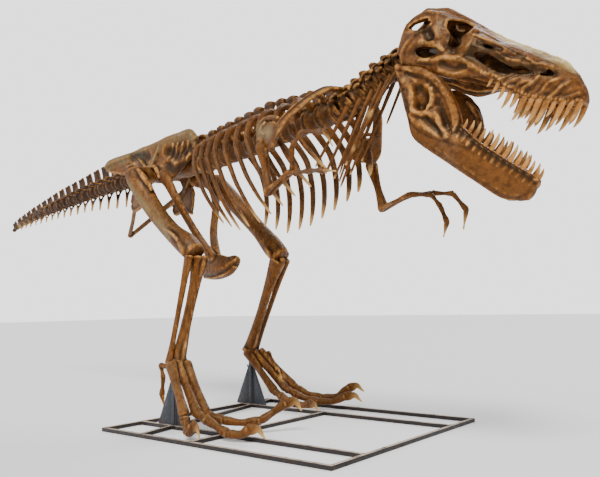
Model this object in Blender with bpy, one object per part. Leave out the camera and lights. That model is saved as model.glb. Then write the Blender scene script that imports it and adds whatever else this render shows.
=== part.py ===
"""Mounted Tyrannosaurus rex skeleton cast, life size, on its welded floor frame.

Metres, +Z up, +X along the frame's long side toward the animal's front, +Y to its left.
Every bone or bone group is one closed solid; neighbours keep a 0.3 mm gap where they meet.
"""

import math

import bmesh
import bpy
from mathutils import Matrix, Vector

NAME = "mounted_trex_skeleton"
GAP = 0.0003
FLAT = {"UNION": 1.0, "DIFFERENCE": 0.02}
SHARP_ANGLE = 32.0

# Welded floor frame, measured from its centre
FRAME_X = 2.615
FRAME_Y = 2.300
TUBE = 0.035
RAIL_Y = {"right": -0.7065, "left": 0.7050}
CROSS_X = -0.140
SLANT_X0 = -0.765
SLANT_SLOPE = -0.214
POST = 0.040
POST_TOP = {"right": 0.500, "left": 0.520}
GUSSET = 0.008
GUSSET_REACH = 0.200
GUSSET_TOP = 0.470
BRACE_SHIFT = {"right": 0.035, "left": 0.000}

# Body frames: origin and heading (degrees from +X toward +Y), pitch (degrees, nose up)
PELVIS = ((-1.541, -0.053, 2.544), -11.4, 0.0)
TRUNK = ((-1.000, -0.162, 2.500), -16.35, 0.0)
TAIL = ((-1.541, -0.053, 2.544), -10.2, 0.0)
SKULL = ((1.822, -0.677, 2.757), 3.65, -20.0)
JAW = ((1.822, -0.677, 2.757), 3.65, -52.0)

# Dorsal column and ribs, in the trunk frame
DORSALS = 12
DORSAL_X0 = 0.201
DORSAL_PITCH = 0.182
CENTRUM_Z = 0.100
CENTRUM_R = 0.098
RIBS = 10
RIB_FIRST = 1

# Tail, along its own axis behind the hip
CAUDALS = 20
CAUDAL_X0 = -0.620
CAUDAL_PITCH = 0.262
CAUDAL_SHRINK = 0.9905
TAIL_CUTS = (7, 13)

# Neck
CERVICALS = 8

# Legs, in the frame of the floor (hips in the pelvis frame)
HIP_Y = 0.505
KNEE = {"right": (-0.765, -0.480, 1.630), "left": (-0.560, 0.568, 1.640)}
ANKLE = {"right": (-0.810, -0.691, 0.600), "left": (-1.105, 0.645, 0.632)}
THIGH_BOW = {"right": 0.090, "left": -0.020}
FEMUR_R = 0.088
TIBIA_R = 0.058
FIBULA_R = 0.040
METATARSAL_R = 0.046

COLOURS = {
    "bone": (0.30, 0.16, 0.065, 0.55, 0.0),
    "skull": (0.33, 0.17, 0.065, 0.50, 0.0),
    "jaw": (0.31, 0.15, 0.060, 0.50, 0.0),
    "tail": (0.24, 0.13, 0.055, 0.60, 0.0),
    "pelvis": (0.34, 0.22, 0.110, 0.60, 0.0),
    "steel": (0.030, 0.026, 0.030, 0.45, 0.6),
}


def new_material(key):
    """Return the Principled material of one finish."""
    material = bpy.data.materials.get(key)
    if material:
        return material
    red, green, blue, rough, metal = COLOURS[key]
    material = bpy.data.materials.new(key)
    material.use_nodes = True
    shader = material.node_tree.nodes["Principled BSDF"]
    shader.inputs["Base Color"].default_value = (red, green, blue, 1.0)
    shader.inputs["Roughness"].default_value = rough
    shader.inputs["Metallic"].default_value = metal
    return material


def new_collection(name):
    """Return a new collection linked to the scene."""
    collection = bpy.data.collections.new(name)
    bpy.context.scene.collection.children.link(collection)
    return collection


def frame(spec):
    """Return the world matrix of a body frame."""
    origin, heading, pitch = spec
    turn = Matrix.Rotation(math.radians(heading), 4, "Z")
    nod = Matrix.Rotation(math.radians(-pitch), 4, "Y")
    return Matrix.Translation(origin) @ turn @ nod


def lerp(a, b, t):
    """Blend two numbers or vectors."""
    return a + (b - a) * t


def table(value, stops):
    """Read a value from (position, value) stops by straight interpolation."""
    if value <= stops[0][0]:
        return stops[0][1]
    for (x0, y0), (x1, y1) in zip(stops, stops[1:]):
        if value <= x1:
            return lerp(y0, y1, (value - x0) / (x1 - x0))
    return stops[-1][1]


def finish_mesh(bm):
    """Write a bmesh to a new triangulated mesh with outward faces."""
    bmesh.ops.remove_doubles(bm, verts=bm.verts, dist=0.00002)
    bmesh.ops.recalc_face_normals(bm, faces=bm.faces)
    bmesh.ops.triangulate(bm, faces=bm.faces)
    mesh = bpy.data.meshes.new("piece")
    bm.to_mesh(mesh)
    bm.free()
    return mesh


def loft(rings):
    """Skin a list of rings with equal point counts and close both ends."""
    bm = bmesh.new()
    rows = [[bm.verts.new(point) for point in ring] for ring in rings]
    count = len(rows[0])
    for low, high in zip(rows, rows[1:]):
        for i in range(count):
            j = (i + 1) % count
            bm.faces.new((low[i], low[j], high[j], high[i]))
    bm.faces.new(rows[0][::-1])
    bm.faces.new(rows[-1])
    return finish_mesh(bm)


def tube(path, sizes, sides=6, up=(0.0, 0.0, 1.0), turn=0.5, ends=(None, None)):
    """Sweep an ellipse along points; sizes are (half width, half height) at each.

    The height lies toward 'up'. 'ends' may give the normals of the end planes.
    """
    points = [Vector(point) for point in path]
    rings = []
    for index, point in enumerate(points):
        before = points[max(index - 1, 0)]
        after = points[min(index + 1, len(points) - 1)]
        along = (after - before).normalized()
        side = Vector(up).cross(along)
        if side.length < 1e-4:
            side = Vector((0.0, 1.0, 0.0))
        side.normalize()
        tall = along.cross(side)
        size = sizes[index] if isinstance(sizes, (list, tuple)) else sizes
        wide, high = size if isinstance(size, (list, tuple)) else (size, size)
        ring = []
        for k in range(sides):
            angle = 2.0 * math.pi * (k + turn) / sides
            ring.append(point + side * (wide * math.cos(angle)) + tall * (high * math.sin(angle)))
        normal = ends[0] if index == 0 else ends[1] if index == len(points) - 1 else None
        if normal is not None:
            flat = Vector(normal).normalized()
            ring = [v + along * ((point - v).dot(flat) / along.dot(flat)) for v in ring]
        rings.append(ring)
    return loft(rings)


def box(low, high):
    """Return a box mesh between two corners."""
    bm = bmesh.new()
    bmesh.ops.create_cube(bm, size=1.0)
    centre = (Vector(low) + Vector(high)) / 2.0
    size = Vector(high) - Vector(low)
    bmesh.ops.scale(bm, vec=size, verts=bm.verts)
    bmesh.ops.translate(bm, vec=centre, verts=bm.verts)
    return finish_mesh(bm)


def ball(centre, radii, rings=4, segments=8):
    """Return an ellipsoid mesh."""
    bm = bmesh.new()
    bmesh.ops.create_uvsphere(bm, u_segments=segments, v_segments=rings, radius=1.0)
    bmesh.ops.scale(bm, vec=Vector(radii), verts=bm.verts)
    bmesh.ops.translate(bm, vec=Vector(centre), verts=bm.verts)
    return finish_mesh(bm)


def moved(mesh, matrix):
    """Transform a mesh in place and return it."""
    mesh.transform(matrix)
    if matrix.determinant() < 0.0:
        mesh.flip_normals()
    return mesh


def mirrored(mesh):
    """Return a copy mirrored across the y = 0 plane."""
    return moved(mesh.copy(), Matrix.Scale(-1.0, 4, (0.0, 1.0, 0.0)))


def combine(base, others, operation):
    """Return base joined with, or cut by, the other meshes as one new mesh."""
    if not others:
        return base
    scene = bpy.context.scene.collection
    body = bpy.data.objects.new("body", base)
    scene.objects.link(body)
    group = bpy.data.collections.new("operands")
    bpy.context.scene.collection.children.link(group)
    tools = []
    for mesh in others:
        tool = bpy.data.objects.new("tool", mesh)
        group.objects.link(tool)
        tools.append(tool)
    modifier = body.modifiers.new("combine", "BOOLEAN")
    modifier.operation = operation
    modifier.solver = "EXACT"
    modifier.operand_type = "COLLECTION"
    modifier.collection = group
    bpy.context.view_layer.update()
    graph = bpy.context.evaluated_depsgraph_get()
    result = bpy.data.meshes.new_from_object(body.evaluated_get(graph))
    for item in [body] + tools:
        bpy.data.objects.remove(item)
    bpy.data.collections.remove(group)
    return tidy(result, FLAT[operation])


def tidy(mesh, flat):
    """Weld, merge faces within 'flat' degrees, triangulate and keep the largest connected body."""
    bm = bmesh.new()
    bm.from_mesh(mesh)
    bmesh.ops.remove_doubles(bm, verts=bm.verts, dist=0.00005)
    bmesh.ops.dissolve_degenerate(bm, edges=bm.edges, dist=0.00005)
    bmesh.ops.dissolve_limit(bm, angle_limit=math.radians(flat), verts=bm.verts, edges=bm.edges)
    bmesh.ops.triangulate(bm, faces=bm.faces)
    islands = []
    seen = set()
    for start in bm.faces:
        if start in seen:
            continue
        seen.add(start)
        stack = [start]
        island = []
        while stack:
            face = stack.pop()
            island.append(face)
            for edge in face.edges:
                for other in edge.link_faces:
                    if other not in seen:
                        seen.add(other)
                        stack.append(other)
        islands.append(island)
    islands.sort(key=len, reverse=True)
    spare = [face for island in islands[1:] for face in island]
    if spare:
        bmesh.ops.delete(bm, geom=spare, context="FACES")
        loose = [vert for vert in bm.verts if not vert.link_faces]
        bmesh.ops.delete(bm, geom=loose, context="VERTS")
    bm.normal_update()
    bm.to_mesh(mesh)
    bm.free()
    return mesh


def union(pieces):
    """Join overlapping meshes into one body."""
    return combine(pieces[0], pieces[1:], "UNION")


def cut(base, tools):
    """Cut a mesh by others."""
    return combine(base, tools, "DIFFERENCE")


def half_space(point, normal, reach=6.0):
    """Return a big box that fills the side of a plane its normal points to."""
    block = box((-reach, -reach, 0.0), (reach, reach, reach))
    turn = Vector((0.0, 0.0, 1.0)).rotation_difference(Vector(normal)).to_matrix().to_4x4()
    return moved(block, Matrix.Translation(point) @ turn)


def grown(mesh, amount):
    """Return a copy pushed outward along its vertex normals."""
    copy = mesh.copy()
    normals = [vertex.normal.copy() for vertex in copy.vertices]
    for vertex, normal in zip(copy.vertices, normals):
        vertex.co += normal * amount
    return copy


class Skeleton:
    """Collects the finished solids by node name, in the frame of the floor."""

    def __init__(self):
        """Start with no solids."""
        self.meshes = {}
        self.finish = {}

    def add(self, name, mesh, finish, spec=None):
        """Keep a solid, moved from its body frame to the floor's."""
        if spec is not None:
            mesh = moved(mesh, frame(spec))
        self.meshes[name] = mesh
        self.finish[name] = finish

    def carve(self, name, *others, gap=0.0005):
        """Cut a solid by its neighbours, leaving the gap to them."""
        tools = [grown(self.meshes[other], gap) for other in others]
        self.meshes[name] = cut(self.meshes[name], tools)

    def place(self, parts):
        """Turn the solids into objects whose frame stands centred on the floor."""
        low = [min(v.co[k] for m in self.meshes.values() for v in m.vertices) for k in range(3)]
        high = [max(v.co[k] for m in self.meshes.values() for v in m.vertices) for k in range(3)]
        shift = Vector((-(low[0] + high[0]) / 2.0, -(low[1] + high[1]) / 2.0, -low[2]))
        root = bpy.data.objects.new(NAME + "_root", None)
        parts.objects.link(root)
        for name, mesh in self.meshes.items():
            centre = sum((v.co for v in mesh.vertices), Vector()) / len(mesh.vertices)
            mesh.transform(Matrix.Translation(-centre))
            item = bpy.data.objects.new(name, mesh)
            mesh.name = name
            item.location = centre + shift
            item.parent = root
            mesh.materials.clear()
            mesh.materials.append(new_material(self.finish[name]))
            mesh.shade_smooth()
            mesh.set_sharp_from_angle(angle=math.radians(SHARP_ANGLE))
            parts.objects.link(item)


# ---------------------------------------------------------------- stand

def slant_x(y):
    """Return the slanted bar's centre at a given y."""
    return SLANT_X0 + SLANT_SLOPE * (y + FRAME_Y / 2.0 - TUBE)


def slant_bar(y0, y1):
    """Return one run of the slanted bar between two rails."""
    half = TUBE / 2.0 * math.hypot(1.0, SLANT_SLOPE)
    rings = []
    for y in (y0, y1):
        x = slant_x(y)
        ring = [(x - half, y, 0.0), (x + half, y, 0.0), (x + half, y, TUBE), (x - half, y, TUBE)]
        rings.append(ring)
    return loft(rings)


def build_frame(kit):
    """Build the outer rectangle, the two inner rails, the cross bar and the slanted bar."""
    x1 = FRAME_X / 2.0
    y1 = FRAME_Y / 2.0
    h = TUBE / 2.0
    inner = x1 - TUBE - GAP
    side = y1 - TUBE - GAP
    kit.add("stand_rail_near", box((-x1, -y1, 0.0), (x1, -y1 + TUBE, TUBE)), "steel")
    kit.add("stand_rail_far", box((-x1, y1 - TUBE, 0.0), (x1, y1, TUBE)), "steel")
    kit.add("stand_rail_front", box((x1 - TUBE, -side, 0.0), (x1, side, TUBE)), "steel")
    kit.add("stand_rail_rear", box((-x1, -side, 0.0), (-x1 + TUBE, side, TUBE)), "steel")
    for name, y in RAIL_Y.items():
        kit.add("stand_rail_" + name, box((-inner, y - h, 0.0), (inner, y + h, TUBE)), "steel")
    edges = (-side, RAIL_Y["right"] - h, RAIL_Y["right"] + h, RAIL_Y["left"] - h,
             RAIL_Y["left"] + h, side)
    for index, (low, high) in enumerate(((edges[0], edges[1]), (edges[2], edges[3]))):
        low = low if index == 0 else low + GAP
        bar = box((CROSS_X - h, low, 0.0), (CROSS_X + h, high - GAP, TUBE))
        kit.add("stand_cross_%d" % (index + 1), bar, "steel")
    for index in range(3):
        low = edges[2 * index] + (GAP if index else 0.0)
        high = edges[2 * index + 1] - (GAP if index < 2 else 0.0)
        kit.add("stand_slant_%d" % (index + 1), slant_bar(low, high), "steel")


def build_brace(kit, side):
    """Build one upright post with its two triangular gussets on an inner rail."""
    y = RAIL_Y[side]
    x = slant_x(y) + BRACE_SHIFT[side]
    h = POST / 2.0
    floor = TUBE + GAP
    kit.add("stand_post_" + side, box((x - h, y - h, floor), (x + h, y + h, POST_TOP[side])), "steel")
    for name, way in (("front", 1.0), ("rear", -1.0)):
        near = x + way * (h + GAP)
        rings = []
        for edge in (y - GUSSET / 2.0, y + GUSSET / 2.0):
            ring = [(near, edge, floor), (near + way * GUSSET_REACH, edge, floor),
                    (near + way * 0.015, edge, GUSSET_TOP), (near, edge, GUSSET_TOP)]
            rings.append(ring)
        kit.add("stand_gusset_%s_%s" % (side, name), loft(rings), "steel")


# ---------------------------------------------------------------- column pieces

def drum_column(stations, sides=6):
    """Return a column of waisted drums; stations are (point, half width, half height)."""
    points = [s[0] for s in stations]
    sizes = [(s[1], s[2]) for s in stations]
    return tube(points, sizes, sides=sides)


def blade(foot, head, length, thick, taper=0.8, lean=(0.0, 0.0, 0.0)):
    """Return a flat spine plate from foot to head, 'length' along x, 'thick' along y."""
    foot = Vector(foot)
    head = Vector(head) + Vector(lean)
    rings = []
    for point, scale in ((foot, 1.0), (head, taper)):
        a = length * scale / 2.0
        b = thick / 2.0
        ring = [(-a, -b), (a, -b), (a, b), (-a, b)]
        rings.append([point + Vector((u, v, 0.0)) for u, v in ring])
    return loft(rings)


# ---------------------------------------------------------------- trunk

def spine_top(x):
    """Return the height of the dorsal spine tops along the trunk."""
    return table(x, ((0.2, 0.425), (1.3, 0.430), (1.7, 0.380), (2.3, 0.285)))


def rib_path(index):
    """Return the points of a left rib, counted from the rear."""
    x = DORSAL_X0 + DORSAL_PITCH * (RIB_FIRST + index)
    wide = table(index, ((0, 0.370), (3, 0.430), (7, 0.420), (9, 0.340)))
    deep = table(index, ((0, 0.620), (2, 0.720), (4, 0.690), (6, 0.600), (8, 0.500), (9, 0.400)))
    lean = table(index, ((0, 1.0), (9, 0.80)))
    steps = ((0.00, 0.10, 0.165), (0.02, 0.45, 0.215), (0.09, 0.85, 0.09), (0.19, 1.00, -0.14),
             (0.31, 0.92, -0.52), (0.46, 0.60, -1.00))
    points = []
    for forward, out, height in steps:
        drop = height if height > 0.0 else height * deep
        points.append((x + forward * lean, out * wide, drop))
    return points


def build_trunk(kit):
    """Build the two sides of the rib cage, parted on the body's mid plane."""
    stations = []
    for i in range(DORSALS):
        x = DORSAL_X0 + DORSAL_PITCH * i
        half = DORSAL_PITCH / 2.0
        rim = CENTRUM_R
        stations.append((Vector((x - half + 0.004, 0.0, CENTRUM_Z)), rim, rim))
        stations.append((Vector((x, 0.0, CENTRUM_Z)), rim * 0.72, rim * 0.80))
    end = DORSAL_X0 + DORSAL_PITCH * (DORSALS - 0.5)
    stations.append((Vector((end, 0.0, CENTRUM_Z)), CENTRUM_R, CENTRUM_R))
    pieces = [drum_column(stations)]
    for i in range(DORSALS):
        x = DORSAL_X0 + DORSAL_PITCH * i
        spine = blade((x, 0.0, CENTRUM_Z), (x + 0.01, 0.0, spine_top(x)), 0.115, 0.050, 0.95)
        pieces.append(spine)
    for i in range(RIBS):
        sizes = [(0.030, 0.022), (0.028, 0.022), (0.026, 0.019), (0.025, 0.019), (0.021, 0.016),
                 (0.009, 0.008)]
        pieces.append(tube(rib_path(i), sizes, sides=4, up=(1.0, 0.0, 0.0)))
    whole = union(pieces)
    left = cut(whole, [half_space((0.0, GAP / 2.0, 0.0), (0.0, -1.0, 0.0))])
    right = mirrored(left)
    kit.add("trunk_left", left, "bone", TRUNK)
    kit.add("trunk_right", right, "bone", TRUNK)


# ---------------------------------------------------------------- neck

def neck_curve():
    """Return world points and axes along the neck, trunk end first."""
    start = frame(TRUNK) @ Vector((DORSAL_X0 + DORSAL_PITCH * (DORSALS - 0.5), 0.0, CENTRUM_Z))
    end = frame(SKULL) @ Vector((-0.045, 0.0, 0.150))
    lead = (frame(TRUNK).to_3x3() @ Vector((1.0, 0.0, 0.10))) * 0.30
    tail = (frame(SKULL).to_3x3() @ Vector((1.0, 0.0, 0.10)))
    tail = (tail + frame(TRUNK).to_3x3() @ Vector((1.0, 0.0, 0.30))).normalized() * 0.30
    a = start
    b = start + lead
    c = end - tail
    d = end

    def point(t):
        """Return the Bezier point at t."""
        s = 1.0 - t
        return a * s**3 + b * (3 * s * s * t) + c * (3 * s * t * t) + d * t**3

    return point


def build_neck(kit):
    """Build the cervical column with its spines, processes and long ribs."""
    point = neck_curve()
    stations = []
    pieces = []
    for i in range(CERVICALS):
        t0 = i / CERVICALS
        t1 = (i + 0.5) / CERVICALS
        size = lerp(0.100, 0.080, i / (CERVICALS - 1))
        stations.append((point(t0), size, size))
        stations.append((point(t1), size * 0.78, size * 0.82))
    stations.append((point(1.0), 0.070, 0.070))
    pieces.append(drum_column(stations))
    for i in range(CERVICALS):
        t = (i + 0.5) / CERVICALS
        here = point(t)
        ahead = (point(min(t + 0.05, 1.0)) - point(t - 0.05)).normalized()
        left = Vector((0.0, 0.0, 1.0)).cross(ahead).normalized()
        up = ahead.cross(left)
        top = lerp(0.150, 0.130, t)
        spine = tube([here, here + up * top + ahead * 0.01], [(0.024, 0.052), (0.020, 0.034)],
                     sides=4, up=ahead)
        pieces.append(spine)
        wing = [here + left * (way * 0.150) + up * 0.025 for way in (-1.0, 1.0)]
        pieces.append(tube(wing, [(0.026, 0.042), (0.026, 0.042)], sides=4, up=ahead))
        for way in (1.0, -1.0):
            if i == 0 or i == CERVICALS - 1:
                continue
            length = table(i, ((1, 0.46), (3, 0.62), (5, 0.56), (6, 0.36)))
            root = here + left * (way * 0.105) - up * 0.050
            tip = root - ahead * 0.62 * length - Vector((0.0, 0.0, 0.72 * length)) + left * (way * 0.07)
            rod = tube([here - up * 0.02 + left * (way * 0.05), tip], [(0.022, 0.030), (0.008, 0.010)],
                       sides=4, up=ahead)
            pieces.append(rod)
    kit.add("neck", union(pieces), "bone")


# ---------------------------------------------------------------- skull

SKULL_TOP = ((-0.09, 0.330), (0.00, 0.455), (0.15, 0.470), (0.30, 0.425), (0.45, 0.372), (0.60, 0.322),
             (0.80, 0.280), (1.00, 0.232), (1.10, 0.162), (1.17, 0.080), (1.20, 0.030))
SKULL_WIDE = ((-0.09, 0.250), (0.05, 0.290), (0.20, 0.295), (0.45, 0.270), (0.60, 0.225),
              (0.80, 0.180), (1.00, 0.140), (1.10, 0.110), (1.17, 0.070), (1.20, 0.035))
SKULL_ROOF = ((-0.09, 0.200), (0.05, 0.200), (0.20, 0.180), (0.32, 0.160), (0.45, 0.095), (0.60, 0.060),
              (0.80, 0.050), (1.00, 0.050), (1.10, 0.045), (1.17, 0.030), (1.20, 0.018))
SKULL_SHED = ((-0.09, 0.040), (0.05, 0.050), (0.20, 0.045), (0.45, 0.020), (1.20, 0.012))
SKULL_LOW = ((-0.09, 0.080), (0.00, 0.000), (0.17, 0.020), (0.28, -0.005), (0.38, -0.012), (0.47, 0.010),
             (0.55, 0.028), (0.64, 0.018), (0.73, -0.030), (0.87, -0.065), (1.08, -0.052), (1.20, -0.020))


def skull_ring(x):
    """Return one closed section of the skull at x."""
    top = table(x, SKULL_TOP)
    wide = table(x, SKULL_WIDE)
    roof = table(x, SKULL_ROOF)
    low = table(x, SKULL_LOW)
    mid = lerp(low, top, 0.45)
    half = [(0.0, top), (roof, top - table(x, SKULL_SHED)), (lerp(roof, wide, 0.75), lerp(mid, top, 0.55)),
            (wide, mid), (wide * 0.98, low + 0.012), (wide * 0.80, low)]
    ring = [(x, y, z) for y, z in half]
    ring += [(x, -y, z) for y, z in half[:0:-1]]
    return ring


OPENINGS = (
    (((-0.063, 0.281), (0.000, 0.255), (0.060, 0.270), (0.075, 0.350), (0.045, 0.368), (-0.018, 0.335)),
     0.14, 0.40),
    (((0.054, 0.121), (0.122, 0.065), (0.210, 0.105), (0.230, 0.149), (0.183, 0.172), (0.093, 0.155)),
     0.14, 0.40),
    (((0.190, 0.347), (0.250, 0.285), (0.300, 0.220), (0.350, 0.295), (0.335, 0.360), (0.255, 0.390)),
     0.11, 0.40),
    (((0.435, 0.150), (0.500, 0.112), (0.700, 0.102), (0.805, 0.130), (0.690, 0.165), (0.465, 0.240)),
     0.09, 0.40),
    (((0.800, 0.143), (0.845, 0.125), (0.905, 0.140), (0.900, 0.166), (0.830, 0.168)), 0.07, 0.40),
)


def window(outline, near, far):
    """Return a prism over an (x, z) outline between two y values."""
    return loft([[(x, y, z) for x, z in outline] for y in (near, far)])


def well(outline, way, low, high):
    """Return a prism over an (x, y) outline between two heights."""
    return loft([[(x, way * y, z) for x, y in outline] for z in (low, high)])


def tooth_row(roots, tips, half, way):
    """Return a row of teeth as one zigzag ridge; roots outnumber tips by one, way is +1 for up."""
    sink = Vector((0.0, 0.0, -0.030 * way))
    rings = []
    for index, root in enumerate(roots):
        root = Vector(root)
        side = Vector((0.0, math.copysign(half, root.y), 0.0))
        rings.append([root + sink + side * 0.7, root + sink - side * 0.7, root])
        if index < len(tips):
            middle = lerp(root, Vector(roots[index + 1]), 0.5) + sink
            rings.append([middle + side, middle - side, Vector(tips[index])])
    return loft(rings)


def build_skull(kit):
    """Build the skull with its openings and upper teeth."""
    xs = (-0.09, 0.00, 0.15, 0.28, 0.38, 0.47, 0.55, 0.64, 0.73, 0.87, 1.00, 1.10, 1.17, 1.20)
    body = loft([skull_ring(x) for x in xs])
    tools = []
    palate = [[(x, -w, -0.3), (x, w, -0.3), (x, w * 0.8, z), (x, -w * 0.8, z)]
              for x, w, z in ((-0.3, 0.215, 0.16), (0.45, 0.215, 0.13), (0.62, 0.160, 0.05),
                              (0.90, 0.110, 0.03), (1.12, 0.050, 0.02))]
    tools.append(loft(palate))
    for way in (1.0, -1.0):
        for outline, near, far in OPENINGS:
            tools.append(window(outline, way * near, way * far))
        roof_hole = ((-0.005, 0.055), (0.140, 0.045), (0.150, 0.130), (0.010, 0.160))
        tools.append(well(roof_hole, way, 0.300, 0.60))
    tools.append(box((-0.30, -0.130, -0.20), (-0.045, 0.130, 0.300)))
    body = cut(body, tools)
    pieces = [body]
    stem = tube([(-0.0445, 0.0, 0.150), (0.25, 0.0, 0.180)], [(0.060, 0.060), (0.09, 0.09)], sides=6,
                ends=((1.0, 0.0, 0.0), None))
    pieces.append(stem)
    for way in (1.0, -1.0):
        edge = [0.640 + 0.0425 * i for i in range(14)]
        roots = [(x, way * table(x, SKULL_WIDE) * 0.87, table(x, SKULL_LOW) - 0.004) for x in edge]
        tips = []
        for i in range(13):
            x = lerp(edge[i], edge[i + 1], 0.5)
            size = table(i, ((0, 0.060), (3, 0.105), (6, 0.130), (9, 0.120), (12, 0.095)))
            tips.append((x - 0.35 * size, way * table(x, SKULL_WIDE) * 0.83, table(x, SKULL_LOW) - size))
        pieces.append(tooth_row(roots, tips, 0.016, -1.0))
    kit.add("skull", union(pieces), "skull", SKULL)


# ---------------------------------------------------------------- lower jaw

JAW_TOP = ((0.00, 0.000), (0.05, 0.005), (0.16, 0.088), (0.28, 0.118), (0.40, 0.108), (0.52, 0.062),
           (0.60, 0.000), (0.75, 0.004), (0.90, 0.034), (1.05, 0.070), (1.17, 0.102), (1.215, 0.080))
JAW_LOW = ((0.00, -0.060), (0.07, -0.090), (0.30, -0.210), (0.43, -0.280), (0.52, -0.272), (0.78, -0.218),
           (1.10, -0.150), (1.17, -0.100), (1.215, 0.000))
JAW_OUT = ((0.00, 0.330), (0.10, 0.335), (0.40, 0.300), (0.60, 0.250), (0.80, 0.195), (1.00, 0.130),
           (1.10, 0.095), (1.17, 0.060), (1.215, 0.026))
JAW_THICK = ((0.00, 0.075), (0.10, 0.070), (0.40, 0.055), (0.60, 0.075), (1.00, 0.080), (1.17, 0.062),
             (1.215, 0.040))


def jaw_ring(x, way):
    """Return one section of a jaw side at x."""
    top = table(x, JAW_TOP)
    low = table(x, JAW_LOW)
    out = table(x, JAW_OUT)
    inner = out - table(x, JAW_THICK)
    mid = lerp(low, top, 0.45)
    half = ((out - 0.014, top), (out, mid), (out - 0.012, low + 0.03), (out - 0.035, low),
            (inner, low + 0.02), (inner, mid), (inner + 0.008, top))
    return [(x, way * y, z) for y, z in half]


def jaw_ridge(x):
    """Return the distance of the tooth row from the mid plane."""
    return table(x, JAW_OUT) - table(x, JAW_THICK) * 0.45


def build_jaw(kit):
    """Build the lower jaw with its teeth."""
    xs = (0.00, 0.07, 0.16, 0.28, 0.43, 0.52, 0.60, 0.75, 0.90, 1.05, 1.17, 1.215)
    sides = [loft([jaw_ring(x, way) for x in xs]) for way in (1.0, -1.0)]
    chin = tube([(1.06, 0.0, -0.02), (1.20, 0.0, 0.02)], [(0.075, 0.115), (0.040, 0.070)], sides=8)
    pieces = sides + [chin]
    for way in (1.0, -1.0):
        edge = [0.610 + 0.0435 * i for i in range(14)]
        roots = [(x, way * jaw_ridge(x), table(x, JAW_TOP) + 0.004) for x in edge]
        tips = []
        for i in range(13):
            x = lerp(edge[i], edge[i + 1], 0.5)
            size = table(i, ((0, 0.070), (2, 0.105), (5, 0.120), (9, 0.110), (12, 0.075)))
            tips.append((x - 0.45 * size, way * (jaw_ridge(x) + 0.004), table(x, JAW_TOP) + size))
        pieces.append(tooth_row(roots, tips, 0.015, 1.0))
    kit.add("lower_jaw", union(pieces), "jaw", JAW)


def part_jaws(kit):
    """Part the skull from the lower jaw on the plane through the jaw joint."""
    spec = (SKULL[0], SKULL[1], (SKULL[2] + JAW[2]) / 2.0)
    place = frame(spec)
    up = place.to_3x3() @ Vector((0.0, 0.0, 1.0))
    point = place @ Vector((0.05, 0.0, -0.012))
    kit.meshes["skull"] = cut(kit.meshes["skull"], [half_space(point + up * (GAP / 2.0), -up)])
    kit.meshes["lower_jaw"] = cut(kit.meshes["lower_jaw"], [half_space(point - up * (GAP / 2.0), up)])


# ---------------------------------------------------------------- pelvis

ILIUM = ((0.60, 0.345, 0.240, 0.120, 0.120, 0.022), (0.50, 0.420, 0.130, 0.130, 0.135, 0.026),
         (0.30, 0.405, -0.050, 0.160, 0.225, 0.040), (0.18, 0.390, -0.085, 0.190, 0.270, 0.055),
         (0.05, 0.370, 0.030, 0.220, 0.270, 0.055), (-0.12, 0.350, 0.030, 0.255, 0.275, 0.055),
         (-0.26, 0.340, -0.070, 0.280, 0.285, 0.050), (-0.42, 0.332, 0.070, 0.305, 0.300, 0.036),
         (-0.68, 0.325, 0.130, 0.350, 0.330, 0.034), (-0.84, 0.305, 0.165, 0.390, 0.370, 0.040),
         (-0.93, 0.270, 0.190, 0.405, 0.390, 0.032))


def build_ilium(kit, side, way):
    """Build one hip blade."""
    rings = []
    for x, top, low, y_top, y_low, half in ILIUM:
        mid = lerp(low, top, 0.5)
        y_mid = lerp(y_low, y_top, 0.6)
        ring = [(x, way * (y_top - half), top), (x, way * (y_top + half), top),
                (x, way * (y_mid + half * 0.7), mid), (x, way * (y_low + half), low),
                (x, way * (y_low - half), low), (x, way * (y_mid - half * 0.7), mid)]
        rings.append(ring)
    kit.add("ilium_" + side, loft(rings), "pelvis", PELVIS)


def build_sacrum(kit):
    """Build the sacrum with its plate of spines and its ribs to the hip blades."""
    column = [(0.575, 0.100), (0.40, 0.080), (0.25, 0.095), (0.08, 0.078), (-0.08, 0.092), (-0.25, 0.078),
              (-0.42, 0.092), (-0.55, 0.078), (-0.625, 0.094)]
    pieces = [tube([(x, 0.0, 0.070 + 0.09 * max(0.0, -x)) for x, r in column],
                   [(r, r) for x, r in column], sides=6)]
    plate = [[(x, -0.022, 0.08), (x, 0.022, 0.08), (x, 0.022, top), (x, -0.022, top)]
             for x, top in ((0.57, 0.375), (0.50, 0.392), (-0.50, 0.420), (-0.58, 0.400))]
    pieces.append(loft(plate))
    for x in (0.40, 0.16, -0.10, -0.34):
        reach = table(x, ((-0.34, 0.26), (0.16, 0.20), (0.40, 0.13)))
        pieces.append(tube([(x, -reach, 0.15), (x, reach, 0.15)], [(0.05, 0.06), (0.05, 0.06)], sides=4))
    kit.add("sacrum", union(pieces), "pelvis", PELVIS)


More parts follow.
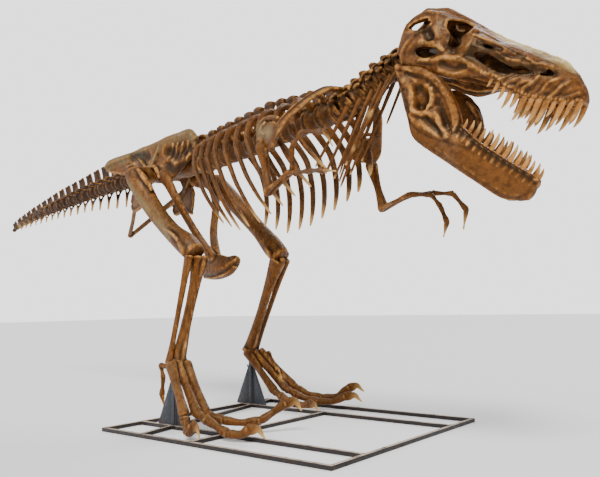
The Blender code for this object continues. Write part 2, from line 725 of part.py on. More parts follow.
def build_pubes(kit):
    """Build the paired pubic shafts and their shared boot."""
    pieces = []
    for way in (1.0, -1.0):
        path = [(0.22, way * 0.275, -0.03), (0.32, way * 0.27, -0.15), (0.43, way * 0.23, -0.34),
                (0.56, way * 0.115, -0.64), (0.72, way * 0.040, -0.88), (0.80, way * 0.02, -0.97)]
        sizes = [(0.060, 0.075), (0.045, 0.062), (0.038, 0.048), (0.038, 0.046), (0.044, 0.055), (0.05, 0.06)]
        pieces.append(tube(path, sizes, sides=6, up=(1.0, 0.0, 0.0)))
    boot = [[(x, -w, low), (x, w, low), (x, w, low + 0.7 * (top - low)), (x, w * 0.45, top),
             (x, -w * 0.45, top), (x, -w, low + 0.7 * (top - low))]
            for x, low, top, w in ((0.50, -1.05, -0.98, 0.040), (0.62, -1.130, -0.930, 0.060),
                                   (0.80, -1.150, -0.890, 0.075), (1.00, -1.120, -0.930, 0.070),
                                   (1.11, -1.070, -0.925, 0.055), (1.170, -1.010, -0.940, 0.035))]
    pieces.append(loft(boot))
    kit.add("pubes", union(pieces), "pelvis", PELVIS)


OBTURATOR = ((-0.10, -0.06), (-0.50, -0.10), (-0.55, -0.22), (-0.49, -0.32), (-0.28, -0.29), (-0.13, -0.35))


def build_ischia(kit):
    """Build the paired ischia that meet at their tips."""
    pieces = []
    for way in (1.0, -1.0):
        path = [(-0.24, way * 0.275, -0.03), (-0.34, way * 0.265, -0.11), (-0.62, way * 0.19, -0.23),
                (-0.90, way * 0.09, -0.39), (-1.14, way * 0.012, -0.52)]
        sizes = [(0.055, 0.070), (0.038, 0.055), (0.026, 0.034), (0.024, 0.028), (0.026, 0.026)]
        pieces.append(tube(path, sizes, sides=6, up=(0.0, 0.0, 1.0)))
        pieces.append(window(OBTURATOR, way * 0.245, way * 0.285))
    pieces.append(ball((-1.145, 0.0, -0.525), (0.045, 0.034, 0.034), rings=4, segments=6))
    kit.add("ischia", union(pieces), "pelvis", PELVIS)


# ---------------------------------------------------------------- tail

def caudal_x(i):
    """Return the position of the front end of a tail vertebra."""
    pitch = CAUDAL_PITCH
    x = CAUDAL_X0
    for _ in range(i):
        x -= pitch
        pitch *= CAUDAL_SHRINK
    return x


def tail_z(x):
    """Return the height of the tail's axis."""
    return table(x, ((-5.60, -0.085), (-5.0, 0.02), (-4.0, 0.095), (-3.0, 0.140), (-2.0, 0.165),
                     (-1.2, 0.155), (-0.6, 0.126)))


def tail_size(x):
    """Return the radius of the tail's drums."""
    return table(x, ((-5.60, 0.018), (-5.30, 0.034), (-4.5, 0.055), (-3.3, 0.078), (-2.0, 0.094),
                     (-0.6, 0.100)))


def build_tail(kit):
    """Build the tail in three lengths."""
    bounds = (0,) + TAIL_CUTS + (CAUDALS,)
    for part, name in enumerate(("tail_base", "tail_mid", "tail_tip")):
        pieces = []
        stations = []
        for i in range(bounds[part], bounds[part + 1]):
            x0 = caudal_x(i)
            x1 = caudal_x(i + 1)
            xm = (x0 + x1) / 2.0
            first = x0 - (GAP if i == bounds[part] else 0.0)
            size = tail_size(x0)
            stations.append((Vector((first, 0.0, tail_z(first))), size, size))
            size = tail_size(xm) * 0.76
            stations.append((Vector((xm, 0.0, tail_z(xm))), size, size))
        size = tail_size(x1)
        stations.append((Vector((x1, 0.0, tail_z(x1))), size, size))
        pieces.append(drum_column(stations))
        for i in range(bounds[part], bounds[part + 1]):
            x = (caudal_x(i) + caudal_x(i + 1)) / 2.0
            pitch = caudal_x(i) - caudal_x(i + 1)
            top = table(x, ((-5.45, 0.02), (-5.2, 0.10), (-4.5, 0.205), (-3.3, 0.345), (-2.5, 0.400),
                            (-1.8, 0.455), (-0.9, 0.450)))
            base = tail_z(x)
            if top > base + tail_size(x):
                pieces.append(blade((x + 0.02, 0.0, base), (x - 0.30 * pitch, 0.0, top), pitch * 0.50,
                                    0.042 * (0.6 + tail_size(x) * 4.0), 0.72))
            if i < 9:
                reach = table(i, ((0, 0.27), (6, 0.19), (9, 0.12)))
                wing = [(x, -reach, base + 0.035), (x, reach, base + 0.035)]
                pieces.append(tube(wing, [(0.045, 0.020), (0.045, 0.020)], sides=4))
            if i >= 1 and i < CAUDALS - 1:
                tip = table(x, ((-5.2, -0.085), (-4.0, -0.075), (-2.4, -0.095), (-1.4, -0.170)))
                joint = caudal_x(i) if i > bounds[part] else x + 0.25 * pitch
                thick = 0.030 * (0.4 + tail_size(x) * 6.0)
                pieces.append(tube([(joint - 0.02, 0.0, base - 0.02), (joint - 0.30 * pitch, 0.0, tip)],
                                   [(thick, thick * 0.7), (thick * 0.40, thick * 0.40)],
                                   sides=4, up=(1.0, 0.0, 0.0)))
        kit.add(name, union(pieces), "tail", TAIL)


# ---------------------------------------------------------------- shoulders and arms

def build_scapula(kit, side, way):
    """Build one shoulder blade with its coracoid plate."""
    path = [(2.42, way * 0.085, 0.215), (2.40, way * 0.20, 0.200), (2.34, way * 0.34, 0.110),
            (2.22, way * 0.44, -0.010), (2.12, way * 0.475, -0.120), (2.06, way * 0.475, -0.210)]
    sizes = [(0.052, 0.016), (0.050, 0.018), (0.046, 0.019), (0.050, 0.021), (0.085, 0.026), (0.060, 0.030)]
    strap = tube(path, sizes, sides=6, up=(0.0, way * 0.75, 0.65))
    plate = tube([(1.86, way * 0.450, -0.020), (1.93, way * 0.465, -0.070), (2.10, way * 0.475, -0.120)],
                 [(0.018, 0.055), (0.022, 0.100), (0.024, 0.110)], sides=6, up=(0.0, 0.0, 1.0))
    shoulder = Vector(ARM[side]["shoulder"])
    upper = (Vector(ARM[side]["elbow"]) - shoulder).normalized()
    kit.add("scapula_" + side, cut(union([strap, plate]), [half_space(shoulder, upper)]), "pelvis", TRUNK)


ARM = {
    "right": {"shoulder": (1.93, -0.480, -0.150), "elbow": (2.035, -0.480, -0.530),
              "wrist": (2.27, -0.450, -0.425),
              "inner": ((2.28, -0.440, -0.240), (2.41, -0.440, -0.155), (2.68, -0.440, -0.215),
                        (2.76, -0.440, -0.330)),
              "outer": ((2.36, -0.460, -0.445), (2.53, -0.470, -0.462), (2.70, -0.480, -0.488),
                        (2.84, -0.480, -0.518))},
    "left": {"shoulder": (2.055, 0.510, -0.200), "elbow": (2.185, 0.520, -0.605),
             "wrist": (2.47, 0.545, -0.535),
             "inner": ((2.68, 0.560, -0.565), (2.768, 0.560, -0.666), (2.825, 0.560, -0.790),
                       (2.786, 0.560, -0.895)),
             "outer": ((2.66, 0.620, -0.545), (2.84, 0.620, -0.575), (2.960, 0.620, -0.710),
                       (2.927, 0.620, -0.848))},
}


def build_arm(kit, side):
    """Build the upper arm, the forearm's two bones and the two-fingered hand."""
    spec = ARM[side]
    shoulder = Vector(spec["shoulder"])
    elbow = Vector(spec["elbow"])
    wrist = Vector(spec["wrist"])
    lower = (wrist - elbow).normalized()
    upper = (elbow - shoulder).normalized()
    hinge = (upper + lower).normalized()
    path = [shoulder - upper * 0.03, lerp(shoulder, elbow, 0.18), lerp(shoulder, elbow, 0.55),
            lerp(shoulder, elbow, 0.88), elbow + upper * 0.035]
    sizes = [(0.045, 0.055), (0.050, 0.055), (0.030, 0.034), (0.040, 0.042), (0.050, 0.044)]
    ends = [half_space(shoulder + upper * GAP, -upper), half_space(elbow, hinge)]
    kit.add("humerus_" + side, cut(tube(path, sizes, sides=6, up=(0.0, 1.0, 0.0)), ends), "bone", TRUNK)
    across = Vector((0.0, 1.0, 0.0))
    pieces = []
    for way in (1.0, -1.0):
        off = across * (0.021 * way)
        path = [elbow - lower * 0.030 + off * 0.6, lerp(elbow, wrist, 0.2) + off,
                lerp(elbow, wrist, 0.6) + off, wrist + lower * 0.012 + off * 0.5]
        pieces.append(tube(path, [(0.030, 0.030), (0.018, 0.020), (0.015, 0.016), (0.026, 0.022)], sides=6,
                           up=(0.0, 1.0, 0.0)))
    ends = [half_space(elbow + hinge * GAP, -hinge), half_space(wrist, lower)]
    kit.add("forearm_" + side, cut(union(pieces), ends), "bone", TRUNK)
    pieces = []
    for finger, way in (("inner", 1.0), ("outer", -1.0)):
        joints = [Vector(p) for p in spec[finger]]
        first = wrist - lower * 0.012 + across * (0.014 * way)
        path = [first, lerp(first, joints[0], 0.5), joints[0], lerp(joints[0], joints[1], 0.5), joints[1],
                lerp(joints[1], joints[2], 0.5), joints[2], lerp(joints[2], joints[3], 0.6), joints[3]]
        sizes = [0.026, 0.017, 0.024, 0.016, 0.022, 0.017, 0.023, 0.015, 0.003]
        pieces.append(tube(path, sizes, sides=5, up=(0.0, 1.0, 0.0)))
    hand = cut(union(pieces), [half_space(wrist + lower * GAP, -lower)])
    kit.add("hand_" + side, hand, "bone", TRUNK)


# ---------------------------------------------------------------- legs

METATARSALS = {
    "right": (((-0.740, -0.628), (-0.385, -0.712, 0.180)), ((-0.790, -0.690), (-0.390, -0.818, 0.195)),
              ((-0.800, -0.762), (-0.432, -0.925, 0.195))),
    "left": (((-1.110, 0.585), (-0.825, 0.720, 0.195)), ((-1.085, 0.655), (-0.745, 0.825, 0.215)),
             ((-1.040, 0.725), (-0.725, 0.925, 0.245))),
}
SPUR = {
    "right": ((-0.82, -0.690, 0.555), (-1.030, -0.690, 0.575), (-0.995, -0.690, 0.455),
              (-1.015, -0.690, 0.300), (-0.975, -0.690, 0.180)),
    "left": ((-1.03, 0.735, 0.560), (-0.960, 0.790, 0.600), (-0.905, 0.795, 0.500), (-0.840, 0.800, 0.410),
             (-0.778, 0.800, 0.335)),
}
TOES = {
    "right": (((-0.259, -0.620, 0.120), (-0.130, -0.530, 0.100), (0.010, -0.430, 0.115),
               (0.110, -0.355, 0.195), (0.200, -0.300, 0.270), (0.275, -0.262, 0.285),
               (0.322, -0.240, 0.205)),
              ((-0.240, -0.822, 0.145), (-0.119, -0.830, 0.105), (0.021, -0.840, 0.065),
               (0.142, -0.812, 0.066), (0.210, -0.790, 0.115), (0.285, -0.765, 0.118),
               (0.334, -0.740, 0.050)),
              ((-0.395, -0.950, 0.150), (-0.352, -0.970, 0.110), (-0.300, -0.995, 0.065),
               (-0.260, -1.005, 0.075), (-0.215, -1.015, 0.135), (-0.160, -1.030, 0.130),
               (-0.110, -1.045, 0.055))),
    "left": (((-0.700, 0.712, 0.140), (-0.608, 0.700, 0.105), (-0.490, 0.690, 0.081), (-0.388, 0.680, 0.081),
              (-0.305, 0.672, 0.105), (-0.234, 0.668, 0.102), (-0.178, 0.660, 0.040)),
             ((-0.620, 0.855, 0.155), (-0.517, 0.880, 0.120), (-0.379, 0.930, 0.092), (-0.230, 0.990, 0.095),
              (-0.110, 1.045, 0.150), (-0.010, 1.082, 0.165), (0.055, 1.115, 0.100)),
             ((-0.640, 0.955, 0.190), (-0.554, 0.985, 0.150), (-0.415, 1.050, 0.115), (-0.270, 1.120, 0.135),
              (-0.150, 1.185, 0.225), (-0.070, 1.218, 0.250), (-0.002, 1.245, 0.190))),
}
TOE_R = (0.043, 0.034, 0.042, 0.031, 0.038, 0.032, 0.042, 0.033, 0.006)


def build_thigh(kit, side, way):
    """Build the thigh bone with its head turned in to the hip."""
    to_world = frame(PELVIS)
    head = to_world @ Vector((-0.01, way * 0.235, 0.010))
    neck = to_world @ Vector((-0.01, way * 0.400, 0.015))
    top = to_world @ Vector((0.00, way * HIP_Y, 0.000))
    knee = Vector(KNEE[side])
    ankle = Vector(ANKLE[side])
    down = (knee - top).normalized()
    shin = (ankle - knee).normalized()
    hinge = (down + shin).normalized()
    outward = to_world.to_3x3() @ Vector((0.0, 1.0, 0.0))
    back = outward.cross(down).normalized() * THIGH_BOW[side]
    path = [top - down * 0.085, top - down * 0.02 + back * 0.2, lerp(top, knee, 0.16) + back * 0.6,
            lerp(top, knee, 0.42) + back, lerp(top, knee, 0.68) + back * 0.8,
            lerp(top, knee, 0.88) + back * 0.2,
            knee + down * 0.09]
    sizes = [(0.060, 0.055), (0.090, 0.105), (0.105, 0.112), (0.090, 0.096), (0.092, 0.096),
             (0.115, 0.120), (0.128, 0.130)]
    shaft = tube(path, sizes, sides=8, up=(0.3, 0.0, 1.0))
    ball_end = tube([head, lerp(head, neck, 0.4), neck, top], [0.070, 0.085, 0.070, 0.070], sides=8,
                    up=(0.0, 0.0, 1.0))
    whole = union([shaft, ball_end])
    kit.add("femur_" + side, cut(whole, [half_space(knee, hinge)]), "bone")
    return knee, ankle, hinge, shin, outward


def build_shin(kit, side, way, knee, ankle, hinge, shin, outward):
    """Build the tibia and, on its outer side, the fibula."""
    ahead = outward.cross(Vector((0.0, 0.0, 1.0)))
    start = knee - shin * 0.09
    stop = ankle + shin * 0.05
    ends = [half_space(knee + hinge * GAP, -hinge), half_space(ankle, (0.0, 0.0, -1.0))]
    inner = outward * (-way * 0.045)
    outer = outward * (way * 0.073) - ahead * 0.010
    path = [start + inner, lerp(knee, ankle, 0.06) + inner, lerp(knee, ankle, 0.30) + inner,
            lerp(knee, ankle, 0.62) + inner * 0.7, lerp(knee, ankle, 0.90) + inner * 0.5, stop + inner * 0.5]
    sizes = [(0.070, 0.112), (0.070, 0.105), (0.052, 0.064), (0.050, 0.056), (0.068, 0.064), (0.076, 0.074)]
    kit.add("tibia_" + side, cut(tube(path, sizes, sides=8, up=ahead), ends), "bone")
    path = [start + outer, lerp(knee, ankle, 0.08) + outer, lerp(knee, ankle, 0.35) + outer,
            lerp(knee, ankle, 0.75) + outer, stop + outer]
    sizes = [(0.040, 0.066), (0.037, 0.054), (0.030, 0.034), (0.026, 0.030), (0.036, 0.040)]
    kit.add("fibula_" + side, cut(tube(path, sizes, sides=6, up=ahead), ends), "bone")
    kit.carve("fibula_" + side, "tibia_" + side)


def build_foot(kit, side, ankle, outward):
    """Build the three joined metatarsals, the spur digit and the three toes."""
    ahead = outward.cross(Vector((0.0, 0.0, 1.0)))
    top = ankle.z - GAP
    pieces = []
    ends = []
    for (x, y), distal in METATARSALS[side]:
        begin = Vector((x, y, top))
        distal = Vector(distal)
        index = len(ends)
        toe = (Vector(TOES[side][index][0]) - distal).normalized()
        along = (distal - begin).normalized()
        joint = (toe + along).normalized()
        path = [begin - along * 0.04, lerp(begin, distal, 0.14), lerp(begin, distal, 0.50),
                lerp(begin, distal, 0.88), distal]
        sizes = [(0.042, 0.056), (0.040, 0.048), (0.033, 0.037), (0.043, 0.046), (0.041, 0.043)]
        pieces.append(tube(path, sizes, sides=6, up=ahead, ends=(None, joint)))
        ends.append((distal, joint))
    pieces.append(tube(SPUR[side], [0.022, 0.030, 0.020, 0.027, 0.006], sides=5, up=ahead))
    whole = cut(union(pieces), [half_space((0.0, 0.0, top), (0.0, 0.0, 1.0))])
    kit.add("metatarsus_" + side, whole, "bone")
    for index, (distal, joint) in enumerate(ends):
        path = [distal + joint * GAP] + [Vector(point) for point in TOES[side][index]]
        path.insert(1, lerp(path[0], path[1], 0.5))
        toe = tube(path, list(TOE_R), sides=6, up=(0.0, 0.0, 1.0), ends=(joint, None))
        kit.add("toe_%d_%s" % (index + 2, side), toe, "bone")


def build_leg(kit, side, way):
    """Build one hind leg from hip to claws."""
    knee, ankle, hinge, shin, outward = build_thigh(kit, side, way)
    build_shin(kit, side, way, knee, ankle, hinge, shin, outward)
    build_foot(kit, side, ankle, outward)


# ---------------------------------------------------------------- assembly

def fit_neighbours(kit):
    """Cut each solid by the neighbours it meets."""
    kit.carve("trunk_left", "sacrum")
    kit.carve("trunk_right", "sacrum")
    kit.carve("tail_base", "sacrum")
    kit.carve("tail_mid", "tail_base")
    kit.carve("tail_tip", "tail_mid")
    kit.carve("neck", "trunk_left", "trunk_right", "skull")
    for side, other in (("right", "left"), ("left", "right")):
        kit.carve("ilium_" + side, "femur_" + side, "sacrum", "trunk_" + side, "tail_base")
    kit.carve("pubes", "ilium_left", "ilium_right", "femur_left", "femur_right")
    kit.carve("ischia", "ilium_left", "ilium_right", "femur_left", "femur_right")
    for side in ("right", "left"):
        kit.carve("scapula_" + side, "trunk_" + side, "neck")
        kit.carve("humerus_" + side, "trunk_" + side)
        kit.carve("metatarsus_" + side, "stand_post_" + side, "stand_gusset_%s_front" % side,
                  "stand_gusset_%s_rear" % side)
        for index in (2, 3, 4):
            kit.carve("toe_%d_%s" % (index, side), "metatarsus_" + side)
        kit.carve("toe_3_" + side, "toe_2_" + side, "toe_4_" + side)


def main():
    """Build the skeleton and its stand."""
    for item in list(bpy.data.objects):
        bpy.data.objects.remove(item, do_unlink=True)
    parts = new_collection(NAME)
    kit = Skeleton()
    build_frame(kit)
    for side in ("right", "left"):
        build_brace(kit, side)
    build_trunk(kit)
    build_skull(kit)
    build_jaw(kit)
    part_jaws(kit)
    build_neck(kit)
    build_sacrum(kit)
    for side, way in (("right", -1.0), ("left", 1.0)):
        build_ilium(kit, side, way)
        build_scapula(kit, side, way)
        build_arm(kit, side)
        build_leg(kit, side, way)
    build_pubes(kit)
    build_ischia(kit)
    build_tail(kit)
    fit_neighbours(kit)
    kit.place(parts)


main()
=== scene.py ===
"""Life-size Tyrannosaurus rex skeleton cast, striding on its welded floor frame.

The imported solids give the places; each bone built here stands for its solid. Metres, +X toward
the animal's front along the floor frame, +Y to its left, +Z up.
"""

import logging
import math
from dataclasses import dataclass, field
from enum import Enum
from typing import Callable, Iterable, Optional, Sequence, Union

import bmesh
import bpy
import numpy as np
from mathutils import Matrix, Vector

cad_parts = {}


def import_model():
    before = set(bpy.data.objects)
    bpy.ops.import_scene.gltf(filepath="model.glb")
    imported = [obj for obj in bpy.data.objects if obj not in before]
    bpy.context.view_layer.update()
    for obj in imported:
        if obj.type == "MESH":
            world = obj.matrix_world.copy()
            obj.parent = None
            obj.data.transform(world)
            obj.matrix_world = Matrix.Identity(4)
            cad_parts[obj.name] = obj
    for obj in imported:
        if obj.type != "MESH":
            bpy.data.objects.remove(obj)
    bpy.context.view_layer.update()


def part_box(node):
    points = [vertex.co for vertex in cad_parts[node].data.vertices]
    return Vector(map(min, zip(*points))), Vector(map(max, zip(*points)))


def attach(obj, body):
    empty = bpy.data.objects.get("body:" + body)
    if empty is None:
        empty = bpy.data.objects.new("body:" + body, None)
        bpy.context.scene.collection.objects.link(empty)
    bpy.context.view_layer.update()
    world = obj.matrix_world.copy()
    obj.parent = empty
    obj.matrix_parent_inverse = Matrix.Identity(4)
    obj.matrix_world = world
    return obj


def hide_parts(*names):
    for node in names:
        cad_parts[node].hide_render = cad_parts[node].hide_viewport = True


LOG = logging.getLogger("skeleton")
Spot = Sequence[float]
Stops = Sequence[tuple[float, float]]
Sizes = Union[float, Sequence[float], Sequence[tuple[float, float]]]
Line = Sequence[tuple[float, float]]
Amount = Union[float, np.ndarray, Vector]
Mark = tuple[Vector, float]
BOTH_WAYS = (1.0, -1.0)

FRAME_HALF_WIDTH = 1.150
SWEEP_DOME = (0.45, 0.9, 1.25)
LOFT_DOME = (0.5, 1.0, 1.35)
LEAST_LENGTH = 1e-9
NEIGHBOUR_PULL = 0.7
BROAD_ROUNDS = 3
RELIEF_LIMIT = 3.0
MARK_CORE = 1.2
SOFTEN = 0.5
ACROSS = (0.0, 1.0, 0.0)
AHEAD = (1.0, 0.0, 0.0)
UP = (0.0, 0.0, 1.0)


class Side(Enum):
    """The animal's two sides; the value is the sign of +Y."""

    RIGHT = -1.0
    LEFT = 1.0

    @property
    def word(self) -> str:
        """Return the side's name in lower case."""
        return self.name.lower()


@dataclass(frozen=True)
class BodyFrame:
    """Place of a body region: origin, heading from +X toward +Y and nose-up pitch in degrees."""

    origin: tuple[float, float, float]
    heading: float
    pitch: float = 0.0

    def matrix(self) -> Matrix:
        """Return the region's matrix in the floor frame.

        Returns:
            The matrix.
        """
        turn = Matrix.Rotation(math.radians(self.heading), 4, "Z")
        nod = Matrix.Rotation(math.radians(-self.pitch), 4, "Y")
        return Matrix.Translation(self.origin) @ turn @ nod


PELVIS = BodyFrame((-1.541, -0.053, 2.544), -11.4)
TRUNK = BodyFrame((-1.000, -0.162, 2.500), -16.35)
TAIL = BodyFrame((-1.541, -0.053, 2.544), -10.2)
SKULL = BodyFrame((1.822, -0.677, 2.757), 3.65, -20.0)
JAW = BodyFrame((1.822, -0.677, 2.757), 3.65, -52.0)


# ---------------------------------------------------------------- shapes

def lerp(a: Amount, b: Amount, t: float) -> Amount:
    """Blend two numbers or vectors by t."""
    return a + (b - a) * t


def read(stops: Stops, value: float) -> float:
    """Read a value from (position, value) stops by straight interpolation."""
    return float(np.interp(value, [s[0] for s in stops], [s[1] for s in stops]))


def smooth_rows(rows: Sequence, steps: int, closed: bool = False) -> np.ndarray:
    """Pass a smooth curve through rows of numbers.

    Args:
        rows: Values to pass through, one row each.
        steps: New rows for each old one.
        closed: True where the last row leads back to the first.

    Returns:
        The denser rows.
    """
    rows = np.asarray(rows, float)
    count = len(rows)
    if closed:
        before, after, last = np.roll(rows, 1, 0), np.roll(rows, -1, 0), np.roll(rows, -2, 0)
        spans = count
    else:
        before = np.vstack([2.0 * rows[:1] - rows[1:2], rows[:-1]])
        after = np.vstack([rows[1:], 2.0 * rows[-1:] - rows[-2:-1]])
        last = np.vstack([after[1:], after[-1:]])
        spans = count - 1
    t = (np.arange(steps) / steps)[:, None]
    out = []
    for i in range(spans):
        a, b, c, d = before[i], rows[i], after[i], last[i]
        out.append(0.5 * (2.0 * b + (c - a) * t + (2.0 * a - 5.0 * b + 4.0 * c - d) * t**2
                          + (3.0 * b - a - 3.0 * c + d) * t**3))
    if not closed:
        out.append(rows[-1:])
    return np.vstack(out)


@dataclass
class Shape:
    """A closed surface as points and faces."""

    points: np.ndarray
    faces: list[tuple[int, ...]]

    def moved(self, matrix: Matrix) -> "Shape":
        """Return the shape under a matrix.

        Args:
            matrix: Matrix to apply.

        Returns:
            The shape.
        """
        grid = np.array(matrix)
        points = self.points @ grid[:3, :3].T + grid[:3, 3]
        faces = self.faces if matrix.determinant() > 0.0 else [f[::-1] for f in self.faces]
        return Shape(points, faces)

    def mirrored(self) -> "Shape":
        """Return the shape on the other side of the mid plane."""
        return self.moved(Matrix.Scale(-1.0, 4, ACROSS))


def skin(rings: np.ndarray, first: np.ndarray, last: np.ndarray) -> Shape:
    """Join rings of equal count and close both ends on a pole.

    Args:
        rings: Array of rings, points and coordinates.
        first: Pole before the first ring.
        last: Pole after the last ring.

    Returns:
        The closed shape.
    """
    rows, count, _ = rings.shape
    points = np.vstack([rings.reshape(-1, 3), first[None], last[None]])
    faces = []
    for r in range(rows - 1):
        low, high = r * count, (r + 1) * count
        for k in range(count):
            n = (k + 1) % count
            faces.append((low + k, low + n, high + n, high + k))
    start, stop, base = rows * count, rows * count + 1, (rows - 1) * count
    for k in range(count):
        n = (k + 1) % count
        faces.append((start, n, k))
        faces.append((stop, base + k, base + n))
    return Shape(points, faces)


def plug(rings: Sequence) -> Shape:
    """Skin rings and close each end on the middle of its ring."""
    rings = np.array(rings)
    return skin(rings, rings[0].mean(axis=0), rings[-1].mean(axis=0))


def sided(points: Iterable[Spot], way: float) -> list[tuple]:
    """Return points with their y turned to one side."""
    return [(x, way * y, z) for x, y, z in points]


def shares(
        start: Vector, stop: Vector, *places: Union[float, tuple[float, Vector]]) -> list[Vector]:
    """Return points between two places.

    Args:
        start: Place at share 0.
        stop: Place at share 1.
        places: A share of the way, or a share with the offset of its point.

    Returns:
        The points.
    """
    pairs = [place if isinstance(place, tuple) else (place, Vector()) for place in places]
    return [lerp(start, stop, share) + offset for share, offset in pairs]


def chained(joints: Sequence[Vector]) -> list[Vector]:
    """Return joints with the middle of each bone between them.

    Args:
        joints: Places of the joints, in order.

    Returns:
        The points.
    """
    chain = [joints[0]]
    for before, after in zip(joints, joints[1:]):
        chain += [lerp(before, after, 0.5), after]
    return chain


def dense(path: Sequence[Spot], gap: float, least: int) -> np.ndarray:
    """Return a smoothed path whose points lie no further apart than about 'gap'.

    Args:
        path: Points of the path.
        gap: Distance wanted between points, in metres.
        least: Least number of new points for each point.

    Returns:
        The rows.
    """
    rows = np.array([tuple(p) for p in path], float)
    if len(rows) < 2:
        return rows
    longest = np.linalg.norm(np.diff(rows, axis=0), axis=1).max()
    return smooth_rows(rows, max(least, math.ceil(longest / gap)))


def unit(rows: np.ndarray) -> np.ndarray:
    """Return rows scaled to length one."""
    return rows / np.maximum(np.linalg.norm(rows, axis=-1, keepdims=True), LEAST_LENGTH)


def sweep(path: Sequence[Spot], sizes: Sizes, sides: int = 14, steps: int = 5, up: Spot = UP,
          square: float = 2.0, ends: tuple[float, float] = (0.8, 0.8)) -> Shape:
    """Sweep a rounded section along a smooth path and dome its ends.

    Args:
        path: Points of the path.
        sizes: One half size, or (half width, half height), for each point or for all.
        sides: Points round the section.
        steps: Rings for each point of the path.
        up: Direction that the height lies toward.
        square: Roundness of the section: 2 is an ellipse, more is boxier.
        ends: Length of each dome against the smaller half size.

    Returns:
        The closed shape.
    """
    points = np.array([tuple(p) for p in path], float)
    if not isinstance(sizes, (list, tuple)) or (len(sizes) == 2 and len(points) != 2
                                                and not isinstance(sizes[0], (list, tuple))):
        sizes = [sizes] * len(points)
    pairs = np.array([s if isinstance(s, (list, tuple)) else (s, s) for s in sizes], float)
    rows = smooth_rows(np.hstack([points, pairs]), steps)
    centre, half = rows[:, :3], np.abs(rows[:, 3:])
    along = unit(np.gradient(centre, axis=0))
    side = unit(np.cross(np.array(up, float), along))
    tall = np.cross(along, side)
    angle = 2.0 * math.pi * (np.arange(sides) + 0.5) / sides
    power = 2.0 / square
    c = np.sign(np.cos(angle)) * np.abs(np.cos(angle)) ** power
    s = np.sign(np.sin(angle)) * np.abs(np.sin(angle)) ** power
    spread = (side[:, None] * half[:, None, :1] * c[None, :, None]
              + tall[:, None] * half[:, None, 1:] * s[None, :, None])
    rings = [centre[:, None] + spread]
    poles = []
    for index, way, bulge in ((0, -1.0, ends[0]), (-1, 1.0, ends[1])):
        reach = along[index] * way * half[index].min() * bulge
        domes = [centre[index] + reach * math.sin(a) + spread[index] * math.cos(a)
                 for a in SWEEP_DOME]
        poles.append(centre[index] + reach)
        if way < 0.0:
            rings.insert(0, np.array(domes[::-1]))
        else:
            rings.append(np.array(domes))
    return skin(np.concatenate(rings), poles[0], poles[1])


def loft(rings: Sequence, around: int = 4, along: int = 4, bulge: float = 0.15) -> Shape:
    """Skin rings smoothly in both directions.

    Args:
        rings: Rings of equal point count, in order.
        around: New points for each point of a ring.
        along: New rings for each ring.
        bulge: How far each end domes out, against its half size.

    Returns:
        The closed shape.
    """
    dense = np.array([smooth_rows(ring, around, closed=True) for ring in rings])
    count = dense.shape[1]
    dense = smooth_rows(dense.reshape(len(rings), -1), along).reshape(-1, count, 3)
    heart = dense.mean(axis=1)
    parts = [dense]
    poles = []
    for index, near, way in ((0, 1, -1.0), (-1, -2, 1.0)):
        out = unit(heart[index] - heart[near])
        reach = out * bulge * np.linalg.norm(dense[index] - heart[index], axis=1).min()
        domes = [heart[index] + reach * math.sin(a) + (dense[index] - heart[index]) * math.cos(a)
                 for a in LOFT_DOME]
        poles.append(heart[index] + reach)
        if way < 0.0:
            parts.insert(0, np.array(domes[::-1]))
        else:
            parts.append(np.array(domes))
    return skin(np.concatenate(parts), poles[0], poles[1])


def ball(centre: Spot, radii: Spot, turn: Optional[Matrix] = None) -> Shape:
    """Return an ellipsoid, turned about its own centre where 'turn' is given.

    Args:
        centre: Its middle.
        radii: Its half sizes along x, y and z.
        turn: Turn about its middle.

    Returns:
        The shape.
    """
    shape = sweep([(0.0, 0.0, -0.001), (0.0, 0.0, 0.001)], [1.0, 1.0], sides=16, steps=1, up=AHEAD,
                  ends=(1.0, 1.0))
    scale = Matrix.Diagonal((*radii, 1.0))
    return shape.moved(Matrix.Translation(centre) @ (turn or Matrix.Identity(4)) @ scale)


def prism(outline: Line, near: float, far: float) -> Shape:
    """Return a plate over a smoothed (x, z) outline between two y values."""
    edge = smooth_rows(outline, 4, closed=True)
    return plug([[(x, y, z) for x, z in edge] for y in (near, far)])


# ---------------------------------------------------------------- finishes

class Tint(Enum):
    """Colours of the cast and its stand, as scene-linear red, green and blue."""

    # Darkest brown: the patina in hollows and pits, and also the painted shade.
    RECESS = (0.013, 0.0045, 0.0017)
    UMBER = (0.045, 0.0135, 0.0032)
    WALNUT = (0.088, 0.030, 0.0065)
    BRONZE = (0.165, 0.056, 0.011)
    GOLD = (0.480, 0.205, 0.048)
    OLIVE = (0.170, 0.112, 0.036)
    CREAM = (0.640, 0.360, 0.120)
    # Pale straw of the painted highlight on the snout top.
    STRAW = (0.740, 0.540, 0.170)
    # Grey of the painted sheen, a reflection painted into the bone colour.
    ASH = (0.190, 0.135, 0.095)
    # Olive-tan of the painted highlight on tops, rims and the femur's lit side.
    SAGE = (0.205, 0.142, 0.060)
    SOOT = (0.011, 0.008, 0.008)
    DUST = (0.500, 0.395, 0.300)
    SLATE = (0.022, 0.028, 0.038)


def rgba(tint: Tint) -> tuple[float, float, float, float]:
    """Return a tint with full alpha."""
    return (*tint.value, 1.0)


